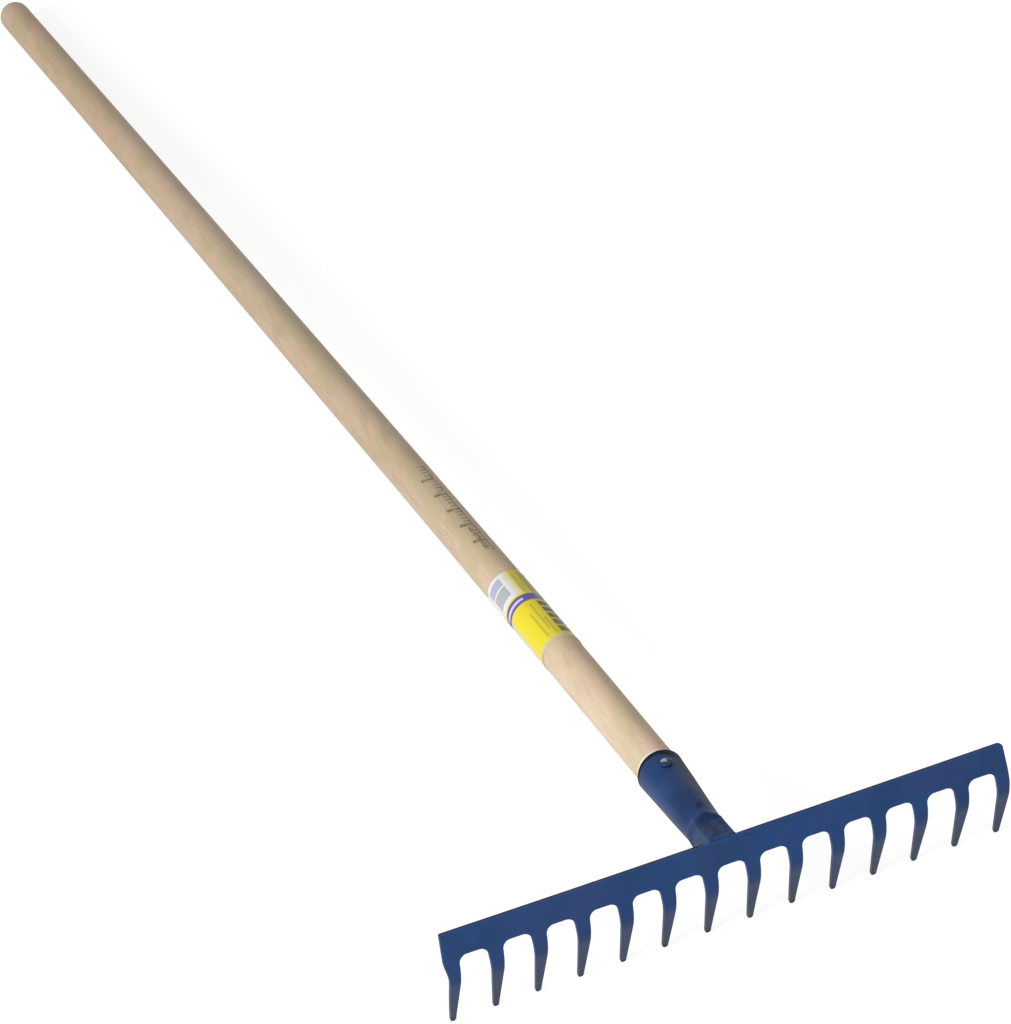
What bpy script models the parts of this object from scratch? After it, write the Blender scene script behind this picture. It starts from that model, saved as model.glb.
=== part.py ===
"""Garden rake: a pressed steel head with fourteen tines, welded to a rolled socket that holds a long
wooden handle.

The pieces are drawn in the head's own frame. There X runs along the bar, Y points from the bar
to the butt of the handle, and Z goes up in the plane of the bar, from its top edge. An empty then
lays the rake down, so that it stands on its tine tips and on the butt of its handle.
"""

import math

import bmesh
import bpy
import numpy as np
from mathutils import Matrix, Vector

# Clearance between pieces that touch on the real rake
GAP = 0.0003

# Rake head: a flat bar with tines, blanked from one sheet
TINE_COUNT = 14
TINE_PITCH = 0.0284
SHEET = 0.0030
BAR_HEIGHT = 0.0178
BAR_HALF_TOP = 0.1884
BAR_HALF_FOOT = 0.1894
LEFT_CORNER_RADIUS = 0.0012
RIGHT_CORNER_RADIUS = 0.0036
END_STEP_TOP = 0.0198
END_STEP_FOOT = 0.034
END_STEP_INSET = 0.0011
GAP_FILLET = 0.0054
TINE_ROOT_HALF = 0.0045
TINE_TIP_HALF = 0.0013
TINE_LENGTH = 0.0780
TINE_LEAN = 0.0006
BEND_START = 0.0238
BEND_RADIUS = 0.027
BEND_ANGLE = math.radians(33)
HEAD_EDGE_BREAK = 0.0004
HEAD_EDGE_ANGLE = math.radians(50)

# Handle axis: how it rises from the plane square to the bar, and the height where it would cross it
HANDLE_RISE = math.radians(8)
HANDLE_CROSSING = -0.006
HANDLE_END = 1.529

# Socket: distances are measured along the handle axis, from the middle of the bar's thickness
RIM_AT = 0.0985
RIM_RADIUS = 0.01535
THROAT_AT = 0.030
THROAT_RADIUS = 0.01225
SOCKET_WALL = 0.0015
NECK_HALF_WIDTH = 0.0109
NECK_HALF_HEIGHT = 0.0086
NECK_CORNER = 0.0028
NECK_CENTRE_HEIGHT = -0.0092
NECK_SIDEWAYS = -0.0019
NECK_PRESSED_SHARE = 0.55
SEAM_WIDTH = 0.0012
SEAM_END = 0.036
SEAM_RUN_OUT = 0.010
SEAM_CUT_HEIGHT = 0.023
SOCKET_SIDES = 40
NECK_RINGS = 9
CONE_RINGS = 4

# Nail that keeps the handle in the socket
NAIL_AT = 0.0845
NAIL_HEAD_RADIUS = 0.0042
NAIL_HEAD_HEIGHT = 0.0020
NAIL_HEAD_EDGE = 0.0003
NAIL_SEAT = 0.0009
NAIL_SHANK_RADIUS = 0.0020
NAIL_LENGTH = 0.024
NAIL_POINT = 0.005
NAIL_SIDES = 20
NAIL_HOLE_SPARE = 0.001
NAIL_HOLE_ABOVE = 0.004
ON_THE_NAIL_AXIS = 0.00001

# Weld runs round the neck: name, and the first and last turn from the top, in degrees
WELD_RUNS = (("weld_left", -128, -62), ("weld_top", -46, 46), ("weld_right", 62, 128))
WELD_RADIUS = 0.0017
WELD_END_SHARE = 0.72
WELD_POINTS = 9

# Paper label wrapped round the handle
LABEL_START = 0.263
LABEL_END = 0.363
LABEL_THICKNESS = 0.0003
LABEL_STAND_OFF = 0.0002
LABEL_SIDES = 32

# Handle, from the socket's rim to the start of the domed butt: distance along its axis, radius, and
# how far the slightly bowed wood lies to the side
HANDLE_SHAPE = (
    (RIM_AT, 0.01360, -0.0009),
    (0.150, 0.01372, -0.0006),
    (0.240, 0.01395, 0.0),
    (0.380, 0.01410, 0.0006),
    (0.520, 0.01400, 0.0008),
    (0.750, 0.01388, 0.0006),
    (1.050, 0.01368, 0.0004),
    (1.300, 0.01342, 0.0001),
    (1.500, 0.01325, -0.0007),
)
NOSE_START = 0.0301
NOSE_CHAMFER = 0.0014
NOSE_CHAMFER_DEPTH = 0.0020
NOSE_STRAIGHT = 0.0039
SHOULDER_INSIDE = 0.001
SHOULDER_OUTSIDE = 0.004
BUTT_DOME = 0.010
BUTT_FLAT_SHARE = 0.22
BUTT_ROUNDING = 0.75
BUTT_TURNS = np.radians((0, 22, 42, 58, 71, 81))
HANDLE_BEVEL_RESOLUTION = 14

STEEL_BLUE = (0.027, 0.066, 0.185)
SOCKET_BLUE = (0.023, 0.052, 0.135)
BEECH = (0.66, 0.50, 0.34)
BRIGHT_STEEL = (0.45, 0.47, 0.52)
LABEL_YELLOW = (0.80, 0.66, 0.07)

X_AXIS = Vector((1, 0, 0))
ALONG = Vector((0, math.cos(HANDLE_RISE), math.sin(HANDLE_RISE)))
ABOVE = Vector((0, -math.sin(HANDLE_RISE), math.cos(HANDLE_RISE)))
CROSSING = Vector((0, 0, HANDLE_CROSSING))


def handle_shape(distance, column):
    """The handle's radius (column 1) or its lie to the side (column 2) at this distance."""
    distances = [row[0] for row in HANDLE_SHAPE]
    return float(np.interp(distance, distances, [row[column] for row in HANDLE_SHAPE]))


def on_axis(distance):
    """The middle of the handle at this distance from the bar."""
    return CROSSING + distance * ALONG + handle_shape(distance, 2) * X_AXIS


def frame_along(direction, origin):
    """Matrix whose local Z runs along the direction, and whose local X lies nearest the head's X."""
    z = direction.normalized()
    y = z.cross(X_AXIS).normalized()
    matrix = Matrix((y.cross(z), y, z)).transposed().to_4x4()
    matrix.translation = origin
    return matrix


def clear_scene():
    for old in list(bpy.data.objects):
        bpy.data.objects.remove(old, do_unlink=True)
    for old in list(bpy.data.collections):
        bpy.data.collections.remove(old)


def new_collection(name):
    made = bpy.data.collections.new(name)
    bpy.context.scene.collection.children.link(made)
    return made


def material(name, colour, roughness, metallic=0.0):
    made = bpy.data.materials.new(name)
    made.use_nodes = True
    shader = made.node_tree.nodes["Principled BSDF"]
    shader.inputs["Base Color"].default_value = (*colour, 1)
    shader.inputs["Roughness"].default_value = roughness
    shader.inputs["Metallic"].default_value = metallic
    return made


def place(name, data, finish, matrix=None):
    """A part's object, on the laying-down empty."""
    made = bpy.data.objects.new(name, data)
    rake.objects.link(made)
    made.parent = laid_down
    if matrix is not None:
        made.matrix_local = matrix
    if finish is not None:
        data.materials.append(finish)
    return made


def place_cutter(name, mesh, matrix):
    made = bpy.data.objects.new(name, mesh)
    cutters.objects.link(made)
    made.parent = laid_down
    made.matrix_local = matrix
    made.hide_render = True
    made.display_type = "WIRE"
    return made


def cut(part, cutter):
    boolean = part.modifiers.new(cutter.name, "BOOLEAN")
    boolean.operation = "DIFFERENCE"
    boolean.object = cutter


def shade_round(mesh, angle=math.radians(35)):
    mesh.shade_smooth()
    mesh.set_sharp_from_angle(angle=angle)


def primitive(build, **sizes):
    """Mesh of one bmesh primitive, such as a cone or a cube."""
    mesh = bpy.data.meshes.new("primitive")
    shape = bmesh.new()
    build(shape, **sizes)
    shape.to_mesh(mesh)
    shape.free()
    return mesh


def mesh_from_curve(made):
    """Replaces a curve object by its mesh, with the loose caps joined to the sides."""
    bpy.context.view_layer.update()
    graph = bpy.context.evaluated_depsgraph_get()
    mesh = bpy.data.meshes.new_from_object(made.evaluated_get(graph))
    shape = bmesh.new()
    shape.from_mesh(mesh)
    bmesh.ops.remove_doubles(shape, verts=shape.verts, dist=1e-6)
    bmesh.ops.recalc_face_normals(shape, faces=shape.faces)
    shape.to_mesh(mesh)
    shape.free()
    name = made.name
    matrix = made.matrix_local.copy()
    bpy.data.objects.remove(made)
    return place(name, mesh, None, matrix)


def tube_curve(name, points, radii, finish, bevel_resolution):
    """A POLY curve through the points, round, with its own radius at each point and filled caps."""
    curve = bpy.data.curves.new(name, "CURVE")
    curve.dimensions = "3D"
    curve.bevel_depth = max(radii)
    curve.bevel_resolution = bevel_resolution
    curve.use_fill_caps = True
    spline = curve.splines.new("POLY")
    spline.points.add(len(points) - 1)
    for knot, point, radius in zip(spline.points, points, radii):
        knot.co = (*point, 1)
        knot.radius = radius / max(radii)
    return place(name, curve, finish)


def tine_half_width(length):
    """Half of a tine's width at this length below the bar's top edge, measured along the sheet."""
    root = BAR_HEIGHT + GAP_FILLET
    share = (length - root) / (TINE_LENGTH - TINE_TIP_HALF - root)
    return TINE_ROOT_HALF + (TINE_TIP_HALF - TINE_ROOT_HALF) * min(max(share, 0), 1)


def tine_lean(length):
    """How far the middle of a tine lies to the right at this length. All tines lean a little, so it
    fades from the bar to the tip."""
    return TINE_LEAN * (TINE_LENGTH - length) / (TINE_LENGTH - BAR_HEIGHT)


def tine_edge(centre, side, length):
    """X of a tine's left (-1) or right (1) edge at this length."""
    return centre + tine_lean(length) + side * tine_half_width(length)


def end_edge(centre, side, length):
    """X of an end tine's outer edge. Below the end of the bar it steps in, eased, to a narrower
    tine, and the difference fades towards the tip."""
    foot = side * BAR_HALF_FOOT
    inset = END_STEP_INSET * (TINE_LENGTH - length) / (TINE_LENGTH - BEND_START)
    share = min(max((length - END_STEP_TOP) / (END_STEP_FOOT - END_STEP_TOP), 0), 1)
    eased = share * share * (3 - 2 * share)
    return foot + eased * (tine_edge(centre, side, length) - side * inset - foot)


def along_tine(length):
    """Where the middle of the sheet runs, as (y, z), at this length below the bar's top edge."""
    turned = min(max((length - BEND_START) / BEND_RADIUS, 0), BEND_ANGLE)
    past = max(length - BEND_START - BEND_RADIUS * BEND_ANGLE, 0)
    y = BEND_RADIUS * (1 - math.cos(turned)) + past * math.sin(turned)
    z = -min(length, BEND_START) - BEND_RADIUS * math.sin(turned) - past * math.cos(turned)
    return y, z


def inner_side(centre, side):
    """Outline from the top of a gap down one side of a tine, to where the bend starts."""
    points = []
    for turn in np.linspace(0, math.pi / 2, 6):
        length = BAR_HEIGHT + GAP_FILLET * (1 - math.cos(turn))
        across = TINE_ROOT_HALF + GAP_FILLET * (1 - math.sin(turn))
        points.append((centre + tine_lean(length) + side * across, -length))
    points.append((tine_edge(centre, side, BEND_START), -BEND_START))
    return points


def outer_side(centre, side, corner):
    """Outline from the bar's top edge round its corner and down its end, to where the bend starts."""
    points = []
    for turn in np.linspace(0, math.pi / 2, 4):
        x = side * (BAR_HALF_TOP - corner * (1 - math.sin(turn)))
        points.append((x, -corner * (1 - math.cos(turn))))
    for length in np.linspace(END_STEP_TOP, BEND_START, 4):
        points.append((end_edge(centre, side, length), -length))
    return points


def make_rake_head():
    """The bar is one flat face with tine stubs. A strip continues each stub round the bend to the tip."""
    shape = bmesh.new()
    centres = [(i - (TINE_COUNT - 1) / 2) * TINE_PITCH for i in range(TINE_COUNT)]
    outline = []
    stubs = []
    for centre in centres:
        if centre == centres[0]:
            left = outer_side(centre, -1, LEFT_CORNER_RADIUS)
        else:
            left = inner_side(centre, -1)
        if centre == centres[-1]:
            right = outer_side(centre, 1, RIGHT_CORNER_RADIUS)
        else:
            right = inner_side(centre, 1)
        outline += [shape.verts.new((x, 0, z)) for x, z in left]
        stubs.append(len(outline) - 1)
        outline += [shape.verts.new((x, 0, z)) for x, z in reversed(right)]
    shape.faces.new(outline)

    bend_end = BEND_START + BEND_RADIUS * BEND_ANGLE
    rows = [(length, 1.0) for length in np.linspace(BEND_START, bend_end, 7)[1:]]
    for turn in np.radians((0, 35, 60)):
        rows.append((TINE_LENGTH - TINE_TIP_HALF * (1 - math.sin(turn)), math.cos(turn)))
    for centre, stub in zip(centres, stubs):
        above = outline[stub], outline[stub + 1]
        for length, tip_share in rows:
            y, z = along_tine(length)
            middle = centre + tine_lean(length)
            left = (end_edge if centre == centres[0] else tine_edge)(centre, -1, length)
            right = (end_edge if centre == centres[-1] else tine_edge)(centre, 1, length)
            edges = [middle + (edge - middle) * tip_share for edge in (left, right)]
            below = [shape.verts.new((edge, y, z)) for edge in edges]
            shape.faces.new((above[0], below[0], below[1], above[1]))
            above = below

    mesh = bpy.data.meshes.new("rake_head")
    shape.to_mesh(mesh)
    shape.free()
    head = place("rake_head", mesh, material("painted_steel", STEEL_BLUE, 0.38))
    sheet = head.modifiers.new("sheet", "SOLIDIFY")
    sheet.thickness = SHEET
    sheet.offset = 0
    sheet.use_even_offset = True
    broken = head.modifiers.new("broken_edges", "BEVEL")
    broken.width = HEAD_EDGE_BREAK
    broken.segments = 1
    broken.limit_method = "ANGLE"
    broken.angle_limit = HEAD_EDGE_ANGLE
    return head


def socket_station(distance):
    """Middle, tilt and section of the socket at this distance along the handle axis. The section is
    (half width, half height, corner radius). It is round up to the throat and squared in the neck,
    which stands square to the bar where it meets it."""
    neck_start = Vector((NECK_SIDEWAYS, SHEET / 2 + GAP, NECK_CENTRE_HEIGHT))
    if distance <= THROAT_AT:
        middle = neck_start + (distance - neck_start.y) * ALONG
        share = (distance - neck_start.y) / (THROAT_AT - neck_start.y)
    else:
        throat = neck_start + (THROAT_AT - neck_start.y) * ALONG
        share = (distance - THROAT_AT) / (RIM_AT - THROAT_AT)
        middle = throat.lerp(on_axis(RIM_AT), share)
    if distance > THROAT_AT:
        radius = THROAT_RADIUS + share * (RIM_RADIUS - THROAT_RADIUS)
        return middle, HANDLE_RISE, (radius, radius, radius)
    tilt = HANDLE_RISE * share
    pressed = min((1 - share) / NECK_PRESSED_SHARE, 1)
    pressed = pressed * pressed * (3 - 2 * pressed)
    width = THROAT_RADIUS + pressed * (NECK_HALF_WIDTH - THROAT_RADIUS)
    height = THROAT_RADIUS + pressed * (NECK_HALF_HEIGHT - THROAT_RADIUS)
    corner = min(width, height) * (1 - pressed) + pressed * NECK_CORNER
    return middle, tilt, (width, height, corner)


def rounded_section(half_width, half_height, corner, turns):
    """Points of a rectangle with round corners, one in each direction asked for. The rectangle's
    core is its corner circles' centres; the outline lies one corner radius out from the core."""
    core = np.array((half_width - corner, half_height - corner))
    direction = np.stack((np.sin(turns), np.cos(turns)), axis=1)
    low = np.zeros(len(turns))
    high = np.full(len(turns), 2 * max(half_width, half_height))
    for _ in range(40):
        reach = (low + high) / 2
        outside = np.maximum(np.abs(direction * reach[:, None]) - core, 0)
        inside = np.linalg.norm(outside, axis=1) < corner
        low = np.where(inside, reach, low)
        high = np.where(inside, high, reach)
    return direction * low[:, None]


def socket_ring(distance, inset):
    """One ring of the socket's outer surface, or of its inner one, set in by the wall."""
    middle, tilt, section = socket_station(distance)
    turns = np.arange(SOCKET_SIDES) * 2 * math.pi / SOCKET_SIDES
    half_width, half_height, corner = (value - inset for value in section)
    up = Vector((0, -math.sin(tilt), math.cos(tilt)))
    points = rounded_section(half_width, half_height, corner, turns)
    return [middle + float(x) * X_AXIS + float(z) * up for x, z in points]


def make_socket():
    """A sheet tube, lofted through its sections, with an open seam along its underside."""
    neck = np.linspace(SHEET / 2 + GAP, THROAT_AT, NECK_RINGS).tolist()
    cone = np.linspace(THROAT_AT, RIM_AT, CONE_RINGS).tolist()[1:]
    outer = [socket_ring(distance, 0) for distance in neck + cone]
    inner = [socket_ring(distance, SOCKET_WALL) for distance in reversed(neck + cone)]
    shape = bmesh.new()
    rings = [[shape.verts.new(point) for point in ring] for ring in outer + inner]
    for ring, following in zip(rings, rings[1:] + rings[:1]):
        for i in range(SOCKET_SIDES):
            j = (i + 1) % SOCKET_SIDES
            shape.faces.new((ring[i], ring[j], following[j], following[i]))
    bmesh.ops.recalc_face_normals(shape, faces=shape.faces)
    mesh = bpy.data.meshes.new("socket")
    shape.to_mesh(mesh)
    shape.free()
    shade_round(mesh)
    socket = place("socket", mesh, material("painted_socket", SOCKET_BLUE, 0.35))

    seam_length = RIM_AT + SEAM_RUN_OUT - SEAM_END
    box = primitive(bmesh.ops.create_cube, size=1)
    box.transform(Matrix.Diagonal((SEAM_WIDTH, SEAM_CUT_HEIGHT, seam_length, 1)))
    seam_middle = on_axis(SEAM_END + seam_length / 2) - RIM_RADIUS * ABOVE
    cut(socket, place_cutter("seam_cutter", box, frame_along(ALONG, seam_middle)))
    return socket


def bore_radius(distance):
    return socket_station(distance)[2][0] - SOCKET_WALL


def make_handle():
    """A turned pole. Its nose is shaved to the socket's bore and follows the bore's lean, and its
    butt is domed."""
    chamfer_end = NOSE_START + NOSE_CHAMFER
    points = [socket_station(NOSE_START)[0]]
    radii = [bore_radius(chamfer_end) - GAP - NOSE_CHAMFER_DEPTH]
    for distance in (chamfer_end, NOSE_START + NOSE_STRAIGHT, RIM_AT - SHOULDER_INSIDE):
        points.append(socket_station(distance)[0])
        radii.append(bore_radius(distance) - GAP)
    for distance in (RIM_AT + SHOULDER_OUTSIDE, *(row[0] for row in HANDLE_SHAPE[1:])):
        points.append(on_axis(distance))
        radii.append(handle_shape(distance, 1))
    dome_start = HANDLE_END - BUTT_DOME
    butt_radius = HANDLE_SHAPE[-1][1]
    for turn in BUTT_TURNS:
        points.append(on_axis(dome_start + BUTT_DOME * math.sin(turn)))
        rounded = (1 - BUTT_FLAT_SHARE) * math.cos(turn) ** BUTT_ROUNDING
        radii.append(butt_radius * (BUTT_FLAT_SHARE + rounded))
    finish = material("beech", BEECH, 0.55)
    handle = tube_curve("handle", points, radii, finish, HANDLE_BEVEL_RESOLUTION)
    handle = mesh_from_curve(handle)
    shade_round(handle.data, math.radians(50))
    return handle


def nail_frame():
    """Where the nail stands, and its outward direction: square to the socket's upper outline, over
    the middle of the socket."""
    middle, _, section = socket_station(NAIL_AT)
    ahead, _, ahead_section = socket_station(NAIL_AT + 0.01)
    top = middle + section[1] * ABOVE
    slope = (ahead + ahead_section[1] * ABOVE - top).normalized()
    return top, X_AXIS.cross(slope).normalized()


def make_nail(nailed):
    """A turned profile: domed head, shank and point. Its hole goes through the socket's upper wall
    and on into the wood."""
    top, out = nail_frame()
    profile = [(ON_THE_NAIL_AXIS, NAIL_SEAT + NAIL_HEAD_HEIGHT)]
    for turn in np.radians((30, 55, 75)):
        height = NAIL_SEAT + NAIL_HEAD_HEIGHT * math.cos(turn)
        profile.append((NAIL_HEAD_RADIUS * math.sin(turn), height))
    profile.append((NAIL_HEAD_RADIUS, NAIL_SEAT + NAIL_HEAD_EDGE))
    profile.append((NAIL_HEAD_RADIUS - NAIL_HEAD_EDGE, NAIL_SEAT))
    profile.append((NAIL_SHANK_RADIUS, NAIL_SEAT))
    profile.append((NAIL_SHANK_RADIUS, NAIL_POINT - NAIL_LENGTH))
    profile.append((ON_THE_NAIL_AXIS, -NAIL_LENGTH))
    mesh = bpy.data.meshes.new("handle_nail")
    shape = bmesh.new()
    knots = [shape.verts.new((x, 0, z)) for x, z in profile]
    for knot, following in zip(knots, knots[1:]):
        shape.edges.new((knot, following))
    shape.to_mesh(mesh)
    shape.free()
    finish = material("bright_steel", BRIGHT_STEEL, 0.3, 1.0)
    nail = place("handle_nail", mesh, finish, frame_along(out, top))
    turned = nail.modifiers.new("turned", "SCREW")
    turned.steps = NAIL_SIDES
    turned.render_steps = NAIL_SIDES
    turned.use_merge_vertices = True
    turned.merge_threshold = 5 * ON_THE_NAIL_AXIS

    depth = NAIL_LENGTH + NAIL_HOLE_SPARE
    hole = primitive(
        bmesh.ops.create_cone,
        cap_ends=True,
        segments=NAIL_SIDES,
        radius1=NAIL_SHANK_RADIUS + GAP,
        radius2=NAIL_SHANK_RADIUS + GAP,
        depth=depth + NAIL_HOLE_ABOVE,
    )
    middle = top + out * (NAIL_HOLE_ABOVE - depth) / 2
    hole = place_cutter("nail_cutter", hole, frame_along(out, middle))
    for part in nailed:
        cut(part, hole)
    return nail


def make_welds():
    """Three runs of weld lie in the corner between the neck and the back of the bar: up its left
    side, across its top and down its right side."""
    stand = WELD_RADIUS + GAP
    height = SHEET / 2 + stand
    middle, _, section = socket_station(height)
    grown = [value + stand for value in section]
    finish = bpy.data.materials["painted_steel"]
    end_radius = WELD_RADIUS * WELD_END_SHARE
    radii = [end_radius] + [WELD_RADIUS] * (WELD_POINTS - 2) + [end_radius]
    for name, first, last in WELD_RUNS:
        turns = np.radians(np.linspace(first, last, WELD_POINTS))
        outline = rounded_section(*grown, turns)
        points = [Vector((middle.x + x, height, middle.z + z)) for x, z in outline.tolist()]
        run = mesh_from_curve(tube_curve(name, points, radii, finish, 3))
        shade_round(run.data, math.radians(60))


def make_label():
    """A paper sleeve on the handle, as an open tube given its thickness outwards."""
    first, last = (handle_shape(d, 1) + LABEL_STAND_OFF for d in (LABEL_START, LABEL_END))
    mesh = primitive(
        bmesh.ops.create_cone,
        cap_ends=False,
        segments=LABEL_SIDES,
        radius1=first,
        radius2=last,
        depth=LABEL_END - LABEL_START,
    )
    shade_round(mesh)
    near = on_axis(LABEL_START)
    far = on_axis(LABEL_END)
    matrix = frame_along(far - near, (near + far) / 2)
    label = place("label", mesh, material("label_print", LABEL_YELLOW, 0.35), matrix)
    paper = label.modifiers.new("paper", "SOLIDIFY")
    paper.thickness = LABEL_THICKNESS
    paper.offset = 1
    paper.use_even_offset = True
    return label


def points_of(made, graph):
    """World points of an object as its modifiers leave it."""
    evaluated = made.evaluated_get(graph)
    mesh = evaluated.to_mesh()
    flat = np.empty(len(mesh.vertices) * 3)
    mesh.vertices.foreach_get("co", flat)
    evaluated.to_mesh_clear()
    world = np.array(evaluated.matrix_world)
    return flat.reshape(-1, 3) @ world[:3, :3].T + world[:3, 3]


def lay_down(head, handle):
    """Turns the rake about X until its tine tips and its butt are level, then brings the middle of
    its footprint to the origin."""
    bpy.context.view_layer.update()
    graph = bpy.context.evaluated_depsgraph_get()
    tips = points_of(head, graph)[:, 1:]
    pole = points_of(handle, graph)[:, 1:]
    tilt = 0.0
    for _ in range(20):
        down = np.array((math.sin(tilt), math.cos(tilt)))
        tip = tips[np.argmin(tips @ down)]
        butt = pole[np.argmin(pole @ down)]
        tilt = -math.atan2(butt[1] - tip[1], butt[0] - tip[0])
    laid_down.rotation_euler = (tilt, 0, 0)
    bpy.context.view_layer.update()
    graph = bpy.context.evaluated_depsgraph_get()
    every = np.concatenate([points_of(made, graph) for made in rake.objects if made.type == "MESH"])
    low = every.min(axis=0)
    high = every.max(axis=0)
    laid_down.location = (-(low[0] + high[0]) / 2, -(low[1] + high[1]) / 2, -low[2])
    bpy.context.view_layer.update()


clear_scene()
rake = new_collection("garden_rake")
cutters = new_collection("cutters")
laid_down = bpy.data.objects.new("laid_down", None)
rake.objects.link(laid_down)

head = make_rake_head()
socket = make_socket()
handle = make_handle()
make_nail((socket, handle))
make_welds()
make_label()
lay_down(head, handle)
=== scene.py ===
import functools
import math

import bmesh
import bpy
import numpy as np
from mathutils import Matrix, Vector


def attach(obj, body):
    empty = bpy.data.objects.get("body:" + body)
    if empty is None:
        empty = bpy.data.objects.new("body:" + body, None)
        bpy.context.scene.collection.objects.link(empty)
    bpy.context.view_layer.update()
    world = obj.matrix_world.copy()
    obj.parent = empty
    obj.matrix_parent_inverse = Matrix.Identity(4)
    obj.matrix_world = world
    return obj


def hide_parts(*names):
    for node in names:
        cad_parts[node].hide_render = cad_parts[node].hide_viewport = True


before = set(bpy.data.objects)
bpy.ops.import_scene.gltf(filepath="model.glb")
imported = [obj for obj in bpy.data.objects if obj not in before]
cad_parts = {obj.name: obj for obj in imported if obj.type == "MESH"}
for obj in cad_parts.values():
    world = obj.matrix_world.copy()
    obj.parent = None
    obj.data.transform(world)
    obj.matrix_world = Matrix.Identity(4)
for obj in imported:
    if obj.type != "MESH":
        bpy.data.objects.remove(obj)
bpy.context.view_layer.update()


# The rake head is one strip of 3 mm steel, blanked on a press with its fourteen teeth, whose lower
# parts are then bent back. It is dipped in dark blue enamel, which rounds every edge.

TEETH = 14
PITCH = 0.0284
SHEET = 0.0030
BAR_HEIGHT = 0.0178
BAR_END_TOP = 0.1884
BAR_END_FOOT = 0.1894
GAP_FILLET = 0.0054
ROOT_HALF = 0.0048
TIP_HALF = 0.0019
ROOT_AT = BAR_HEIGHT + GAP_FILLET
TOOTH_LENGTH = 0.07785
TIP_CENTRE = TOOTH_LENGTH - TIP_HALF
LEFT_END = {"corner": 0.0012, "step": 0.0014}
RIGHT_END = {"corner": 0.0032, "step": 0.0006}
RIM_ROUND = 0.0007
RIM_BAND = 0.0009
BEND_AT = 0.0238
BEND_RADIUS = 0.027
BEND_ANGLE = math.radians(33)
END_STEP_AT = 0.0188
END_STEP_FOOT = 0.034
COMMON_LEAN = 0.0006
OWN_LEAN = (3, 3, -1, -3, -2, -3, 1, 5, 8, 3, -1, -5, -4, 1)
LEAN_UNIT = 0.0001
OWN_REACH = 0.0003
REACH_DRAWS = 11
BAR_BOW = 0.0005
BAR_WAVE = 0.00012
WAVE_TURN = 23
WAVE_START = 0.8
LAY_TILT = -0.176106
LAY_Y = -0.760300
LAY_Z = 0.074549

# How many points the head's rounds, flats and lengths are divided into.
RIM_STEPS = 5
FILLET_STEPS = 12
ROUND_STEPS = 9
ACROSS_STEPS = 5
END_FLAT_STEPS = 4
DOWN_STEPS = 15
ROOT_STEPS = 3
BEND_STEPS = 15
TAPER_STEPS = 12
MERGED_WITHIN = 1e-6

PAINT_BLUE = (0.021, 0.071, 0.229)
PAINT_DEEP = (0.017, 0.061, 0.182)
PAINT_VIOLET = (0.033, 0.061, 0.197)
# partly painted reflection of the pale floor, partly soil wear: the grey of the lower teeth
PAINT_WORN_SHEEN = (0.049, 0.058, 0.094)
# painted shade on the bar's top edge and the socket's rim and right side; it also darkens the tips
PAINTED_SHADE_DARK = (0.016, 0.013, 0.022)
BARE_STEEL = (0.13, 0.13, 0.135)
WELD_DARK = (0.004, 0.019, 0.056)
# painted highlight on the lumps of paint round the weld
WELD_HIGHLIGHT_TEAL = (0.016, 0.075, 0.160)

# Patches in the paint: cycles a metre, detail, and the noise at which one begins and is full. Plain
# noise has the first two only, and what lies along an edge has metres in the row's frame.
POOLS = (45, 3.0, 0.38, 0.66)
VIOLET_PATCHES = (28, 2.0, 0.46, 0.66)
CHIPS = (420, 3.0, 0.60, 0.64)
LUMPS = (240, 2.0)
DARK_LUMP = (0.50, 0.62)
LUMP_HIGHLIGHT = (0.54, 0.64)
DIPPED_SKIN = (650, 2.0)
DULLED = (120, 3.0)
# where the lower teeth turn grey, partly as painted floor reflection and partly as wear
SHEEN_WORN_BORDER = (90, 3.0)
SHEEN_WORN_WANDER = 0.016
SHEEN_WORN_FULL = 0.006
SHEEN_WORN_BELOW = 0.060
RAGGED_EDGE = (200, 2.0)
EDGE_WANDER = 0.0008
# where painted shade lies along the back of the bar's top edge, and where the tips turn darker
BACK_EDGE_Y = (LAY_Y - 0.0011, LAY_Y + 0.0001)
TOP_EDGE_Z = (LAY_Z - 0.0022, LAY_Z - 0.0012)
WELDED_X = (-0.0145, 0.0115, 0.0015)
DARKER_TIP_Z = (0.0014, 0.0050)
WELD_PLACE = (0.006, -0.743, 0.079)
WELD_NEAR = (0.008, 0.025)
TURNED_AWAY = (0.46, 0.86)


def laid_down(points):
    """Turns points from the head's own frame into the row's. In the head's frame Z goes up the bar
    from its top edge, and Y goes towards the butt: y' = cy - sz + Y0 and z' = sy + cz + Z0, where c
    and s are the cosine and sine of the tilt."""
    x, y, z = np.moveaxis(np.asarray(points, float), -1, 0)
    c, s = math.cos(LAY_TILT), math.sin(LAY_TILT)
    return np.stack((x, c * y - s * z + LAY_Y, s * y + c * z + LAY_Z), axis=-1)


def grid_faces(rows, columns, ring=False):
    """Corner numbers of the quads of a grid of points, row by row. In a ring the last column joins
    the first."""
    row, column = np.meshgrid(np.arange(rows - 1), np.arange(columns - (not ring)), indexing="ij")
    row, column = row.ravel(), column.ravel()
    beside = (column + 1) % columns
    corners = (row * columns + column, row * columns + beside)
    return np.stack((*corners, corners[1] + columns, corners[0] + columns), axis=1)


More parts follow.
